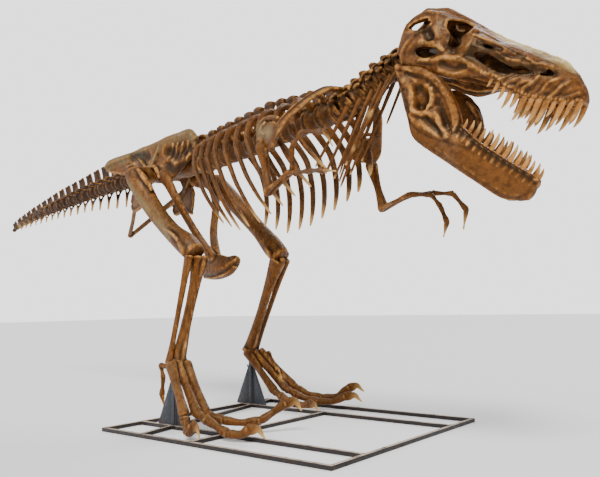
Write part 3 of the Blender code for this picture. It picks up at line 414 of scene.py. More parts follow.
class Graph:
    """A short way to write a node tree."""

    def __init__(self, tree: bpy.types.NodeTree) -> None:
        """Hold the tree."""
        self.tree = tree

    def add(self, kind: str, **values: object) -> bpy.types.Node:
        """Add a node and set its properties or input defaults.

        Args:
            kind: The node's type name.
            values: Values by name, with _ for a space.

        Returns:
            The node.
        """
        node = self.tree.nodes.new(kind)
        for key, value in values.items():
            if hasattr(node, key):
                setattr(node, key, value)
            else:
                node.inputs[key.replace("_", " ")].default_value = value
        return node

    def wire(
            self, source: bpy.types.NodeSocket, node: bpy.types.Node, key: Union[str, int]) -> None:
        """Link an output to a node's input by name or number."""
        self.tree.links.new(source, node.inputs[key])

    def sum_up(self, operation: str, a: bpy.types.NodeSocket,
               b: Union[float, bpy.types.NodeSocket]) -> bpy.types.NodeSocket:
        """Return two values under an operation such as ADD or MULTIPLY.

        Args:
            operation: The operation's name.
            a: First value or colour.
            b: Second value or colour.

        Returns:
            The output.
        """
        node = self.add("ShaderNodeMath", operation=operation)
        self.wire(a, node, 0)
        if isinstance(b, float):
            node.inputs[1].default_value = b
        else:
            self.wire(b, node, 1)
        return node.outputs["Value"]


class Nodes(Graph):
    """A material's shader tree, with patterns on the object's own coordinates."""

    def __init__(self, name: str) -> None:
        """Start a material with its shader and the object's coordinates.

        Args:
            name: Its name.
        """
        self.material = bpy.data.materials.new(name)
        self.material.use_nodes = True
        super().__init__(self.material.node_tree)
        self.shader = self.tree.nodes["Principled BSDF"]
        self.place = self.add("ShaderNodeTexCoord").outputs["Object"]

    def noise(self, scale: float, detail: float = 4.0, stretch: Spot = (1.0, 1.0, 1.0),
              bend: float = 0.0) -> bpy.types.NodeSocket:
        """Return the value of a noise pattern on the object's own coordinates.

        Args:
            scale: Patterns for each metre.
            detail: Levels of finer pattern.
            stretch: Scale along each axis.
            bend: Distortion of the pattern.

        Returns:
            The output.
        """
        spread = self.add("ShaderNodeMapping")
        spread.inputs["Scale"].default_value = stretch
        self.wire(self.place, spread, "Vector")
        node = self.add("ShaderNodeTexNoise", Scale=scale, Detail=detail, Distortion=bend)
        self.wire(spread.outputs["Vector"], node, "Vector")
        return node.outputs["Fac"]

    def ramp(self, source: bpy.types.NodeSocket, low: float, high: float, bottom: float = 0.0,
             top: float = 1.0) -> bpy.types.NodeSocket:
        """Return a value moved from one range to another and kept inside it.

        Args:
            source: Value to move.
            low: Value at the lower end.
            high: Value at the upper end.
            bottom: Result at the lower end.
            top: Result at the upper end.

        Returns:
            The output.
        """
        node = self.add("ShaderNodeMapRange")
        for key, value in (
                ("From Min", low), ("From Max", high), ("To Min", bottom), ("To Max", top)):
            node.inputs[key].default_value = value
        self.wire(source, node, "Value")
        return node.outputs["Result"]

    def times(
            self, a: bpy.types.NodeSocket,
            b: Union[float, bpy.types.NodeSocket]) -> bpy.types.NodeSocket:
        """Return the product of two values."""
        return self.sum_up("MULTIPLY", a, b)

    def blend(
            self, factor: bpy.types.NodeSocket, a: Union[Tint, bpy.types.NodeSocket],
            b: Tint) -> bpy.types.NodeSocket:
        """Mix a colour toward a tint by a factor.

        Args:
            factor: Share of the tint.
            a: First value or colour.
            b: Second value or colour.

        Returns:
            The output.
        """
        node = self.add("ShaderNodeMix", data_type="RGBA")
        self.wire(factor, node, "Factor")
        if isinstance(a, Tint):
            node.inputs[6].default_value = rgba(a)
        else:
            self.wire(a, node, 6)
        node.inputs[7].default_value = rgba(b)
        return node.outputs[2]

    def attribute(self, name: str) -> bpy.types.NodeSocket:
        """Return a value stored on the mesh."""
        node = self.add("ShaderNodeAttribute", attribute_name=name)
        return node.outputs["Fac"]

    def upward(self) -> bpy.types.NodeSocket:
        """Return how far the surface faces up, from -1 to 1.

        Returns:
            The output.
        """
        normal = self.add("ShaderNodeNewGeometry").outputs["Normal"]
        split = self.add("ShaderNodeSeparateXYZ")
        self.wire(normal, split, "Vector")
        return split.outputs["Z"]

    def bump(self, height: bpy.types.NodeSocket, depth: float,
             below: Optional[bpy.types.NodeSocket] = None) -> bpy.types.NodeSocket:
        """Return a normal raised by a height pattern, over an earlier one where given.

        Args:
            height: Height pattern.
            depth: Depth in metres.
            below: Normal to build on.

        Returns:
            The output.
        """
        node = self.add("ShaderNodeBump", Strength=1.0, Distance=depth)
        self.wire(height, node, "Height")
        if below is not None:
            self.wire(below, node, "Normal")
        return node.outputs["Normal"]


@dataclass(frozen=True)
class BoneFinish:
    """Patinated cast bone: dark in its hollows, rubbed to gold on its ridges, with a painted sheen,
    a painted highlight and painted shade.
    """

    name: str
    slot: str
    deep: Tint = Tint.UMBER
    main: Tint = Tint.BRONZE
    # Gold of the worn ridges, part of the patina.
    wear_and_highlight: Tint = Tint.GOLD
    top: Tint = Tint.OLIVE
    top_share: float = 0.28
    wear: float = 0.85
    even: float = 0.25
    grain: Spot = (1.0, 1.0, 1.0)
    gloss: float = 0.42
    shine: float = 0.34
    # Tint of the painted highlight, a lighter colour where light falls.
    highlight_tint: Tint = Tint.SAGE

    def build(self) -> bpy.types.Material:
        """Return the material.

        Returns:
            The material.
        """
        kit = Nodes(self.name)
        patch = kit.ramp(kit.noise(2.6, 7.0, bend=0.8), 0.34, 0.62, self.even, 1.0)
        colour = kit.blend(patch, self.deep, self.main)
        hollow = kit.attribute("hollow")
        dusty = kit.times(
            kit.ramp(kit.upward(), 0.10, 0.80), kit.ramp(kit.noise(6.0, 7.0), 0.34, 0.60))
        colour = kit.blend(kit.times(dusty, self.top_share), colour, self.top)
        # Painted sheen: a grey reflection painted into the colour in soft patches.
        painted_sheen = kit.times(kit.ramp(kit.noise(5.0, 3.0, (1.0, 1.0, 0.6)), 0.54, 0.70), 0.22)
        colour = kit.blend(painted_sheen, colour, Tint.ASH)
        ridge = kit.times(
            kit.ramp(hollow, 0.47, 0.20), kit.ramp(kit.noise(12.0, 6.0), 0.30, 0.56, 0.35, 1.0))
        colour = kit.blend(kit.times(ridge, self.wear), colour, self.wear_and_highlight)
        crest = kit.times(kit.ramp(hollow, 0.32, 0.10), kit.ramp(kit.noise(19.0, 6.0), 0.40, 0.58))
        colour = kit.blend(kit.times(crest, self.wear * 0.7), colour, Tint.CREAM)
        colour = kit.blend(kit.times(kit.ramp(hollow, 0.55, 0.80), 0.90), colour, Tint.RECESS)
        streak = kit.ramp(kit.noise(24.0, 9.0, self.grain), 0.36, 0.52, 0.65, 0.0)
        colour = kit.blend(streak, colour, self.deep)
        pits = kit.ramp(kit.noise(70.0, 9.0), 0.58, 0.72)
        colour = kit.blend(kit.times(pits, 0.6), colour, Tint.RECESS)
        tipped = kit.times(
            kit.attribute("tip"), kit.ramp(kit.noise(18.0, 4.0), 0.2, 0.5, 0.55, 1.0))
        colour = kit.blend(tipped, colour, Tint.CREAM)
        # Painted highlight: a lighter tint laid where the highlight marks lie, where light falls on
        # tops, rims and the femur.
        highlighted = kit.times(
            kit.attribute("gild"), kit.ramp(kit.noise(9.0, 8.0), 0.30, 0.55, 0.35, 1.0))
        colour = kit.blend(highlighted, colour, self.highlight_tint)
        # Painted shade: near-black laid on the colour where the painted-shade marks lie, in
        # recesses, openings and hollows in shadow.
        gloom = kit.times(kit.ramp(kit.attribute("gloom"), 0.05, 0.75),
                          kit.ramp(kit.noise(16.0, 6.0), 0.28, 0.55, 0.70, 0.94))
        colour = kit.blend(gloom, colour, Tint.RECESS)
        kit.wire(colour, kit.shader, "Base Color")
        kit.wire(kit.ramp(kit.noise(11.0, 7.0), 0.30, 0.70, self.gloss - 0.10, self.gloss + 0.20),
                 kit.shader, "Roughness")
        normal = kit.bump(kit.noise(34.0, 10.0, self.grain), 0.006)
        normal = kit.bump(kit.noise(150.0, 6.0), 0.0012, normal)
        kit.wire(normal, kit.shader, "Normal")
        kit.shader.inputs["Specular IOR Level"].default_value = self.shine
        kit.shader.inputs["Specular Tint"].default_value = (1.0, 0.72, 0.42, 1.0)
        return kit.material


@dataclass(frozen=True)
class ToothFinish:
    """Teeth: orange-brown at the root, cream toward the tip, with fine lengthwise streaks."""

    name: str = "tooth_enamel"
    slot: str = "skull_bone"

    def build(self) -> bpy.types.Material:
        """Return the material.

        Returns:
            The material.
        """
        kit = Nodes(self.name)
        colour = kit.blend(kit.ramp(kit.noise(14.0, 5.0), 0.34, 0.60), Tint.BRONZE, Tint.GOLD)
        tip = kit.times(kit.ramp(kit.attribute("tip"), 0.25, 0.95),
                        kit.ramp(kit.noise(30.0, 5.0), 0.35, 0.60, 0.35, 1.0))
        colour = kit.blend(tip, colour, Tint.CREAM)
        cracks = kit.ramp(kit.noise(55.0, 7.0, (1.0, 1.0, 0.15)), 0.60, 0.72)
        colour = kit.blend(kit.times(cracks, 0.5), colour, Tint.UMBER)
        kit.wire(colour, kit.shader, "Base Color")
        kit.wire(kit.ramp(kit.noise(20.0, 4.0), 0.3, 0.7, 0.26, 0.42), kit.shader, "Roughness")
        kit.wire(kit.bump(kit.noise(70.0, 6.0, (1.0, 1.0, 0.2)), 0.001), kit.shader, "Normal")
        kit.shader.inputs["Specular Tint"].default_value = (1.0, 0.80, 0.55, 1.0)
        return kit.material


@dataclass(frozen=True)
class SteelFinish:
    """Painted steel: dark sides, dust where it faces up, chips along its edges."""

    name: str
    slot: str
    paint: Tint = Tint.SOOT
    dust: Tint = Tint.DUST
    dust_share: float = 0.9

    def build(self) -> bpy.types.Material:
        """Return the material.

        Returns:
            The material.
        """
        kit = Nodes(self.name)
        grime = kit.ramp(kit.noise(8.0, 7.0), 0.40, 0.70)
        colour = kit.blend(kit.times(grime, 0.25), self.paint, Tint.UMBER)
        flat = kit.ramp(kit.upward(), 0.40, 0.80)
        layer = kit.times(flat, kit.ramp(kit.noise(22.0, 8.0, (0.4, 0.4, 1.0)), 0.22, 0.50))
        colour = kit.blend(kit.times(layer, self.dust_share), colour, self.dust)
        chips = kit.ramp(kit.noise(95.0, 9.0), 0.67, 0.73)
        colour = kit.blend(kit.times(chips, 0.6), colour, Tint.GOLD)
        kit.wire(colour, kit.shader, "Base Color")
        kit.wire(kit.ramp(kit.noise(30.0, 6.0), 0.3, 0.7, 0.38, 0.72), kit.shader, "Roughness")
        kit.wire(kit.bump(kit.noise(220.0, 4.0), 0.0006), kit.shader, "Normal")
        kit.shader.inputs["Specular IOR Level"].default_value = 0.5
        return kit.material


BONE = BoneFinish("cast_bone", "bone")
LIMB = BoneFinish("cast_limb", "bone", even=0.35, top_share=0.35, grain=(1.5, 1.5, 0.25))
HEAD = BoneFinish("cast_skull", "skull_bone", wear=0.80, top_share=0.20, even=0.50, gloss=0.36,
                  highlight_tint=Tint.STRAW)
HIP = BoneFinish("cast_hip", "pelvis_bone", top_share=0.80)
SPINE = BoneFinish("cast_spine", "bone", main=Tint.WALNUT, wear=0.75, top_share=0.70)
NECK_BONE = BoneFinish(
    "cast_neck", "bone", deep=Tint.RECESS, main=Tint.WALNUT, wear=0.66, top_share=0.35)
TAIL_BONE = BoneFinish(
    "cast_tail", "bone", deep=Tint.RECESS, main=Tint.UMBER, wear=0.55, top_share=0.12, shine=0.14)
TOOTH = ToothFinish()
RAIL_PAINT = SteelFinish("rail_paint", "frame_steel")
BRACE_PAINT = SteelFinish("brace_paint", "brace_steel", paint=Tint.SLATE, dust_share=0.35)


# ---------------------------------------------------------------- node trees

class Growth(Graph):
    """A Geometry Nodes tree with named inputs."""

    def __init__(self, name: str, sockets: Sequence[tuple[str, str, object]]) -> None:
        """Start the tree.

        Args:
            name: Tree name.
            sockets: Input name, kind and default value; the material is added after them.
        """
        super().__init__(bpy.data.node_groups.new(name, "GeometryNodeTree"))
        face = self.tree.interface
        face.new_socket("Geometry", in_out="OUTPUT", socket_type="NodeSocketGeometry")
        for label, kind, value in (
                ("Geometry", "Geometry", None), *sockets, ("Material", "Material", None)):
            item = face.new_socket(label, in_out="INPUT", socket_type="NodeSocket" + kind)
            if value is not None:
                item.default_value = value
        self.given = self.add("NodeGroupInput").outputs

    def close(self, geometry: bpy.types.NodeSocket) -> bpy.types.NodeTree:
        """End the tree in Realize Instances and Set Material, and return it.

        Args:
            geometry: Output that the tree ends with.

        Returns:
            The tree.
        """
        real, dress = self.add("GeometryNodeRealizeInstances"), self.add("GeometryNodeSetMaterial")
        self.wire(geometry, real, "Geometry")
        self.wire(real.outputs["Geometry"], dress, "Geometry")
        self.wire(self.given["Material"], dress, "Material")
        self.wire(dress.outputs["Geometry"], self.add("NodeGroupOutput"), "Geometry")
        return self.tree


class Grower:
    """Builds and runs the Geometry Nodes trees."""

    def __init__(self) -> None:
        """Build each tree once."""
        self.relief = self._relief()
        self.scatter = self._scatter()
        self.rods = self._rods()

    @staticmethod
    def _relief() -> bpy.types.NodeTree:
        """Build the tree that roughens a surface along its normals.

        Returns:
            The tree.
        """
        graph = Growth("bone_relief",
                       (("Lump Size", "Float", 7.0), ("Lump Depth", "Float", 0.006),
                        ("Grain Size", "Float", 40.0), ("Grain Depth", "Float", 0.002)))
        depths = []
        for word in ("Lump", "Grain"):
            pattern = graph.add("ShaderNodeTexNoise", Detail=3.0)
            graph.wire(graph.given[word + " Size"], pattern, "Scale")
            centred = graph.sum_up("SUBTRACT", pattern.outputs["Fac"], 0.5)
            depths.append(graph.sum_up("MULTIPLY", centred, graph.given[word + " Depth"]))
        offset = graph.add("ShaderNodeVectorMath", operation="SCALE")
        graph.wire(graph.add("GeometryNodeInputNormal").outputs["Normal"], offset, 0)
        graph.wire(graph.sum_up("ADD", *depths), offset, "Scale")
        move = graph.add("GeometryNodeSetPosition")
        graph.wire(graph.given["Geometry"], move, "Geometry")
        graph.wire(offset.outputs["Vector"], move, "Offset")
        return graph.close(move.outputs["Geometry"])

    @staticmethod
    def _scatter() -> bpy.types.NodeTree:
        """Build the tree that sets one model on points, by their own turn and size.

        Returns:
            The tree.
        """
        graph = Growth("set_on_points", (("Model", "Object", None),))
        info = graph.add("GeometryNodeObjectInfo")
        graph.wire(graph.given["Model"], info, "Object")
        points = graph.add("GeometryNodeMeshToPoints")
        graph.wire(graph.given["Geometry"], points, "Mesh")
        place = graph.add("GeometryNodeInstanceOnPoints")
        graph.wire(points.outputs["Points"], place, "Points")
        graph.wire(info.outputs["Geometry"], place, "Instance")
        turn = graph.add("FunctionNodeEulerToRotation")
        for name, node, key in (("turn", turn, "Euler"), ("size", place, "Scale")):
            held = graph.add("GeometryNodeInputNamedAttribute", data_type="FLOAT_VECTOR", Name=name)
            graph.wire(held.outputs["Attribute"], node, key)
        graph.wire(turn.outputs["Rotation"], place, "Rotation")
        return graph.close(place.outputs["Instances"])

    @staticmethod
    def _rods() -> bpy.types.NodeTree:
        """Build the tree that sweeps an oval section along curves, by their own radius.

        Returns:
            The tree.
        """
        graph = Growth("swept_rods", (("Rods", "Object", None), ("Sides", "Int", 12),
                                      ("Flatness", "Float", 0.75)))
        info = graph.add("GeometryNodeObjectInfo")
        graph.wire(graph.given["Rods"], info, "Object")
        circle = graph.add("GeometryNodeCurvePrimitiveCircle", mode="RADIUS", Radius=1.0)
        graph.wire(graph.given["Sides"], circle, "Resolution")
        size = graph.add("ShaderNodeCombineXYZ", Y=1.0, Z=1.0)
        graph.wire(graph.given["Flatness"], size, "X")
        oval = graph.add("GeometryNodeTransform")
        graph.wire(circle.outputs["Curve"], oval, "Geometry")
        graph.wire(size.outputs["Vector"], oval, "Scale")
        body = graph.add("GeometryNodeCurveToMesh", Fill_Caps=True)
        graph.wire(info.outputs["Geometry"], body, "Curve")
        graph.wire(oval.outputs["Geometry"], body, "Profile Curve")
        if "Scale" in body.inputs:
            graph.wire(graph.add("GeometryNodeInputRadius").outputs["Radius"], body, "Scale")
        return graph.close(body.outputs["Mesh"])

    @staticmethod
    def settle(item: bpy.types.Object) -> bpy.types.Mesh:
        """Return an object's evaluated mesh and remove the object.

        Args:
            item: Object to work on.

        Returns:
            The mesh.
        """
        bpy.context.view_layer.update()
        graph = bpy.context.evaluated_depsgraph_get()
        mesh = bpy.data.meshes.new_from_object(item.evaluated_get(graph))
        bpy.data.objects.remove(item)
        return mesh

    @staticmethod
    def attach(item: bpy.types.Object, tree: bpy.types.NodeTree, **values: object) -> None:
        """Put a tree on an object and set its named inputs.

        Args:
            item: Object to work on.
            tree: Tree to put on it.
            values: Values by name, with _ for a space.
        """
        modifier = item.modifiers.new(tree.name, "NODES")
        modifier.node_group = tree
        for socket in tree.interface.items_tree:
            key = socket.name.replace(" ", "_")
            if socket.in_out == "INPUT" and key in values:
                modifier[socket.identifier] = values[key]


def new_object(name: str, data: bpy.types.ID) -> bpy.types.Object:
    """Link a new object to the scene.

    Args:
        name: Its name.
        data: The object's data.

    Returns:
        The object.
    """
    item = bpy.data.objects.new(name, data)
    bpy.context.scene.collection.objects.link(item)
    return item


def raw_mesh(shapes: Iterable[Shape], name: str = "raw") -> bpy.types.Mesh:
    """Return one mesh of several shapes with outward faces.

    Args:
        shapes: Shapes to join.
        name: The mesh's name.

    Returns:
        The mesh.
    """
    points, faces, start = [], [], 0
    for shape in shapes:
        points.append(shape.points)
        faces.extend(tuple(i + start for i in face) for face in shape.faces)
        start += len(shape.points)
    mesh = bpy.data.meshes.new(name)
    mesh.from_pydata(np.vstack(points).tolist(), [], faces)
    bm = bmesh.new()
    bm.from_mesh(mesh)
    bmesh.ops.recalc_face_normals(bm, faces=bm.faces)
    bm.to_mesh(mesh)
    bm.free()
    return mesh


def spots(mesh: bpy.types.Mesh) -> np.ndarray:
    """Return a mesh's points.

    Args:
        mesh: Mesh to work on.

    Returns:
        The rows.
    """
    flat = np.empty(len(mesh.vertices) * 3)
    mesh.vertices.foreach_get("co", flat)
    return flat.reshape(-1, 3)


def normals(mesh: bpy.types.Mesh) -> np.ndarray:
    """Return the normals of a mesh's points.

    Args:
        mesh: Mesh to work on.

    Returns:
        The rows.
    """
    flat = np.empty(len(mesh.vertices) * 3)
    mesh.vertex_normals.foreach_get("vector", flat)
    return flat.reshape(-1, 3)


def store(mesh: bpy.types.Mesh, name: str, values: np.ndarray) -> None:
    """Store one number for each point of a mesh."""
    held = mesh.attributes.get(name) or mesh.attributes.new(name, "FLOAT", "POINT")
    held.data.foreach_set("value", np.asarray(values, np.float32))


def store_hollows(
        mesh: bpy.types.Mesh, rounds: int, contrast: float = 0.17, floor: float = 0.0011) -> None:
    """Store how far each point lies in a hollow (above 0.5) or on a ridge (below 0.5).

    Args:
        mesh: Mesh to measure.
        rounds: Times that the surface is averaged; the broad form takes three times as many.
        contrast: Stored change for one standard deviation of the relief.
        floor: Least deviation, in metres, that counts as relief.
    """
    place = spots(mesh)
    pairs = np.empty(len(mesh.edges) * 2, np.int64)
    mesh.edges.foreach_get("vertices", pairs)
    a, b = pairs.reshape(-1, 2).T
    ends, others = np.concatenate([a, b]), np.concatenate([b, a])
    degree = np.maximum(np.bincount(ends, minlength=len(place)), 1)

    def average(values: np.ndarray) -> np.ndarray:
        """Return values moved most of the way to their neighbours' mean."""
        mean = np.bincount(ends, weights=values[others], minlength=len(place)) / degree
        return values + NEIGHBOUR_PULL * (mean - values)

    soft = place.copy()
    for _ in range(rounds):
        soft = np.stack([average(soft[:, axis]) for axis in range(3)], 1)
    rise = ((soft - place) * normals(mesh)).sum(1)
    broad = rise
    for _ in range(BROAD_ROUNDS * rounds):
        broad = average(broad)
    relief = rise - broad
    spread = max(float(relief.std()), floor)
    relief = np.clip(relief, -RELIEF_LIMIT * spread, RELIEF_LIMIT * spread)
    store(mesh, "hollow", np.clip(0.5 + contrast * relief / spread, 0.0, 1.0))


@dataclass(frozen=True)
class Stroke:
    """A soft press along a path; a negative depth raises the surface."""

    path: np.ndarray
    way: Vector
    reach: float
    depth: float


@dataclass
class Clay:
    """Closed shapes that one skin joins into a bone, with the strokes that model its surface."""

    shapes: list[Shape] = field(default_factory=list)
    strokes: list[Stroke] = field(default_factory=list)
    tips: list[Mark] = field(default_factory=list)
    # Places where a painted highlight lightens the colour.
    highlight_marks: list[Mark] = field(default_factory=list)
    # Places where painted shade darkens the colour.
    gloom: list[Mark] = field(default_factory=list)

    def add(self, *shapes: Shape) -> None:
        """Add shapes."""
        self.shapes.extend(shapes)

    def pair(self, *shapes: Shape) -> None:
        """Add shapes and their mirror images."""
        for shape in shapes:
            self.shapes += [shape, shape.mirrored()]

    def press(self, path: Sequence[Spot], reach: float, depth: float, way: Spot = ACROSS,
              both: bool = True) -> None:
        """Press a path into the surface that faces 'way', and its mirror image for 'both'.

        Args:
            path: Points of the path.
            reach: Half width of the stroke, in metres.
            depth: Depth in metres.
            way: Direction that the surface faces.
            both: True to treat the other side as well.
        """
        rows = dense(path, 0.3 * reach, 3)
        for side in BOTH_WAYS if both else BOTH_WAYS[:1]:
            flip = np.array((1.0, side, 1.0))
            self.strokes.append(Stroke(rows * flip, Vector(np.array(way) * flip), reach, depth))

    def shade(self, path: Sequence[Spot], reach: float, both: bool = True) -> None:
        """Paint shade into the colour near a path, and near its mirror image for 'both'.

        Args:
            path: Points of the path.
            reach: Half width of the stroke, in metres.
            both: True to treat the other side as well.
        """
        rows = dense(path, 0.5 * reach, 2)
        for side in BOTH_WAYS if both else BOTH_WAYS[:1]:
            self.gloom += [(Vector((x, y * side, z)), reach) for x, y, z in rows]

    def place(self, body: BodyFrame) -> "Clay":
        """Move everything from a body region to the floor frame.

        Args:
            body: Region that the parts belong to.

        Returns:
            The same bone.
        """
        matrix = body.matrix()
        turn = matrix.to_3x3()
        self.shapes = [shape.moved(matrix) for shape in self.shapes]
        self.strokes = [Stroke(
            np.array([tuple(matrix @ Vector(p)) for p in stroke.path]), turn @ stroke.way,
            stroke.reach, stroke.depth) for stroke in self.strokes]
        for marks in (self.tips, self.highlight_marks, self.gloom):
            marks[:] = [(matrix @ Vector(spot), reach) for spot, reach in marks]
        return self


@dataclass(frozen=True)
class Texture:
    """How the skin of one bone is made."""

    voxel: float = 0.0075
    passes: int = 5
    lump_size: float = 6.0
    lump_depth: float = 0.006
    grain_size: float = 32.0
    grain_depth: float = 0.0035
    hollow_rounds: int = 22


ROD_TEXTURE = Texture(lump_size=9.0, lump_depth=0.005, grain_size=40.0, grain_depth=0.002)
Finish = Union[BoneFinish, ToothFinish, SteelFinish]


class Workshop:
    """Turns shapes into finished pieces that ride on the frame."""

    rod_sides = 14
    rod_hollow_rounds = 2
    rod_contrast = 0.10
    rod_floor = 1e-6

    def __init__(self) -> None:
        """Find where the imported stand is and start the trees."""
        low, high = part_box("stand_rail_near")
        self.shift = Vector(((low.x + high.x) / 2.0, low.y + FRAME_HALF_WIDTH, 0.0))
        self.grower = Grower()
        self.finishes: dict[str, bpy.types.Material] = {}
        self.count = 0

    def material(self, finish: Finish) -> bpy.types.Material:
        """Return the finish's material, built once.

        Args:
            finish: Its finish.

        Returns:
            The material.
        """
        if finish.name not in self.finishes:
            self.finishes[finish.name] = finish.build()
        return self.finishes[finish.name]

    def keep(self, name: str, mesh: bpy.types.Mesh, nodes: Sequence[str],
             finish: Finish) -> bpy.types.Object:
        """Make a finished mesh a piece of the model.

        Args:
            name: Piece name.
            mesh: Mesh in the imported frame.
            nodes: Solids that the piece stands for.
            finish: Its finish.

        Returns:
            The piece.
        """
        mesh.name = name
        if not mesh.materials:
            mesh.materials.append(self.material(finish))
        mesh.shade_smooth()
        piece = new_object(name, mesh)
        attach(piece, "root")
        if nodes:
            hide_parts(*nodes)
        triangles = sum(len(p.vertices) - 2 for p in mesh.polygons)
        self.count += triangles
        LOG.info("%-22s %7d triangles", name, triangles)
        return piece

    def bone(self, name: str, clay: Clay, nodes: Sequence[str], finish: BoneFinish,
             texture: Texture = Texture()) -> bpy.types.Object:
        """Join a bone's shapes under one skin, roughen it and keep it.

        Args:
            name: Its name.
            clay: Bone to work on.
            nodes: Solids that the piece stands for.
            finish: Its finish.
            texture: How its skin is made.

        Returns:
            The object.
        """
        mesh = raw_mesh(clay.shapes)
        mesh.transform(Matrix.Translation(self.shift))
        item = new_object("clay", mesh)
        remesh = item.modifiers.new("skin", "REMESH")
        remesh.mode = "VOXEL"
        remesh.voxel_size = texture.voxel
        remesh.use_smooth_shade = True
        soften = item.modifiers.new("soften", "SMOOTH")
        soften.factor = SOFTEN
        soften.iterations = texture.passes
        self.roughen(item, texture, finish)
        done = self.grower.settle(item)
        self.press(done, clay.strokes)
        store_hollows(done, texture.hollow_rounds)
        # Store the pale tips and the marks of painted highlight and painted shade for the material.
        for word, marks in (("tip", clay.tips), ("gild", clay.highlight_marks), ("gloom", clay.gloom)):
            self.mark(done, word, marks)
        return self.keep(name, done, nodes, finish)

    def roughen(self, item: bpy.types.Object, texture: Texture, finish: Finish) -> None:
        """Put the relief tree on an object.

        Args:
            item: Object to work on.
            texture: How its skin is made.
            finish: Its finish.
        """
        self.grower.attach(item, self.grower.relief, Lump_Size=texture.lump_size,
                           Lump_Depth=texture.lump_depth, Grain_Size=texture.grain_size,
                           Grain_Depth=texture.grain_depth, Material=self.material(finish))

    def press(self, mesh: bpy.types.Mesh, strokes: Sequence[Stroke]) -> None:
        """Model a skin by its strokes, each on the faces that look its way.

        Args:
            mesh: Mesh to work on.
            strokes: Strokes to make.
        """
        if not strokes:
            return
        place, facing_way = spots(mesh), normals(mesh)
        moved = place.copy()
        for stroke in strokes:
            path = stroke.path + np.array(self.shift)
            low, high = path.min(axis=0) - stroke.reach, path.max(axis=0) + stroke.reach
            chosen = np.flatnonzero(((place > low) & (place < high)).all(axis=1))
            away = np.linalg.norm(place[chosen][:, None] - path[None], axis=2).min(axis=1)
            way = np.array(stroke.way)
            facing = np.sqrt(np.clip(facing_way[chosen] @ way, 0.0, 1.0))
            fall = np.clip(1.0 - (away / stroke.reach) ** 2, 0.0, 1.0) ** 2 * facing
            moved[chosen] -= way * (stroke.depth * fall)[:, None]
        mesh.vertices.foreach_set("co", moved.ravel())
        mesh.update()

    def mark(self, mesh: bpy.types.Mesh, name: str, marks: Sequence[Mark]) -> None:
        """Store how near each point is to any of some places.

        Args:
            mesh: Mesh to work on.
            name: The attribute's name.
            marks: Places with their reach.
        """
        place = spots(mesh)
        near = np.zeros(len(place))
        for spot, reach in marks:
            away = np.linalg.norm(place - np.array(spot + self.shift), axis=1)
            near = np.maximum(near, np.clip(MARK_CORE - MARK_CORE * away / reach, 0.0, 1.0))
        store(mesh, name, near)

    def rods(self, name: str, paths: Sequence[np.ndarray], nodes: Sequence[str], finish: BoneFinish,
             tip_reach: float, flatness: float = 0.75) -> bpy.types.Object:
        """Sweep tapering rods, such as ribs, along paths of x, y, z and radius rows.

        Args:
            name: Its name.
            paths: One array of rows for each rod.
            nodes: Solids that the piece stands for.
            finish: Its finish.
            tip_reach: Length of the pale tip, in metres.
            flatness: Thickness against width.

        Returns:
            The object.
        """
        curve = bpy.data.curves.new("rods", "CURVE")
        curve.dimensions = "3D"
        for path in paths:
            spline = curve.splines.new("POLY")
            spline.points.add(len(path) - 1)
            place = path[:, :3] + np.array(self.shift)
            spline.points.foreach_set("co", np.hstack([place, np.ones((len(path), 1))]).ravel())
            spline.points.foreach_set("radius", path[:, 3])
        guide = new_object("guide", curve)
        host = new_object("host", bpy.data.meshes.new("host"))
        self.grower.attach(host, self.grower.rods, Rods=guide, Sides=self.rod_sides,
                           Flatness=flatness, Material=self.material(finish))
        self.roughen(host, ROD_TEXTURE, finish)
        mesh = self.grower.settle(host)
        bpy.data.objects.remove(guide)
        store_hollows(mesh, self.rod_hollow_rounds, self.rod_contrast, self.rod_floor)
        self.mark(mesh, "tip", [(Vector(path[-1, :3]), tip_reach) for path in paths])
        return self.keep(name, mesh, nodes, finish)

    def set_on_points(self, name: str, model: bpy.types.Mesh, rows: Sequence[tuple],
                      finish: Finish) -> bpy.types.Object:
        """Set one model on many places.

        Args:
            name: Piece name.
            model: Mesh to repeat.
            rows: Place, Euler turn and size of each copy.
            finish: Its finish.

        Returns:
            The piece.
        """
        points = [tuple(Vector(row[0]) + self.shift) for row in rows]
        mesh = bpy.data.meshes.new("points")
        mesh.from_pydata(points, [], [])
        for index, key in ((1, "turn"), (2, "size")):
            held = mesh.attributes.new(key, "FLOAT_VECTOR", "POINT")
            held.data.foreach_set(
                "vector", np.array([row[index] for row in rows], np.float32).ravel())
        guide = new_object("guide", model)
        host = new_object("host", mesh)
        self.grower.attach(host, self.grower.scatter, Model=guide, Material=self.material(finish))
        done = self.grower.settle(host)
        bpy.data.objects.remove(guide)
        return self.keep(name, done, (), finish)


# ---------------------------------------------------------------- backbone and ribs

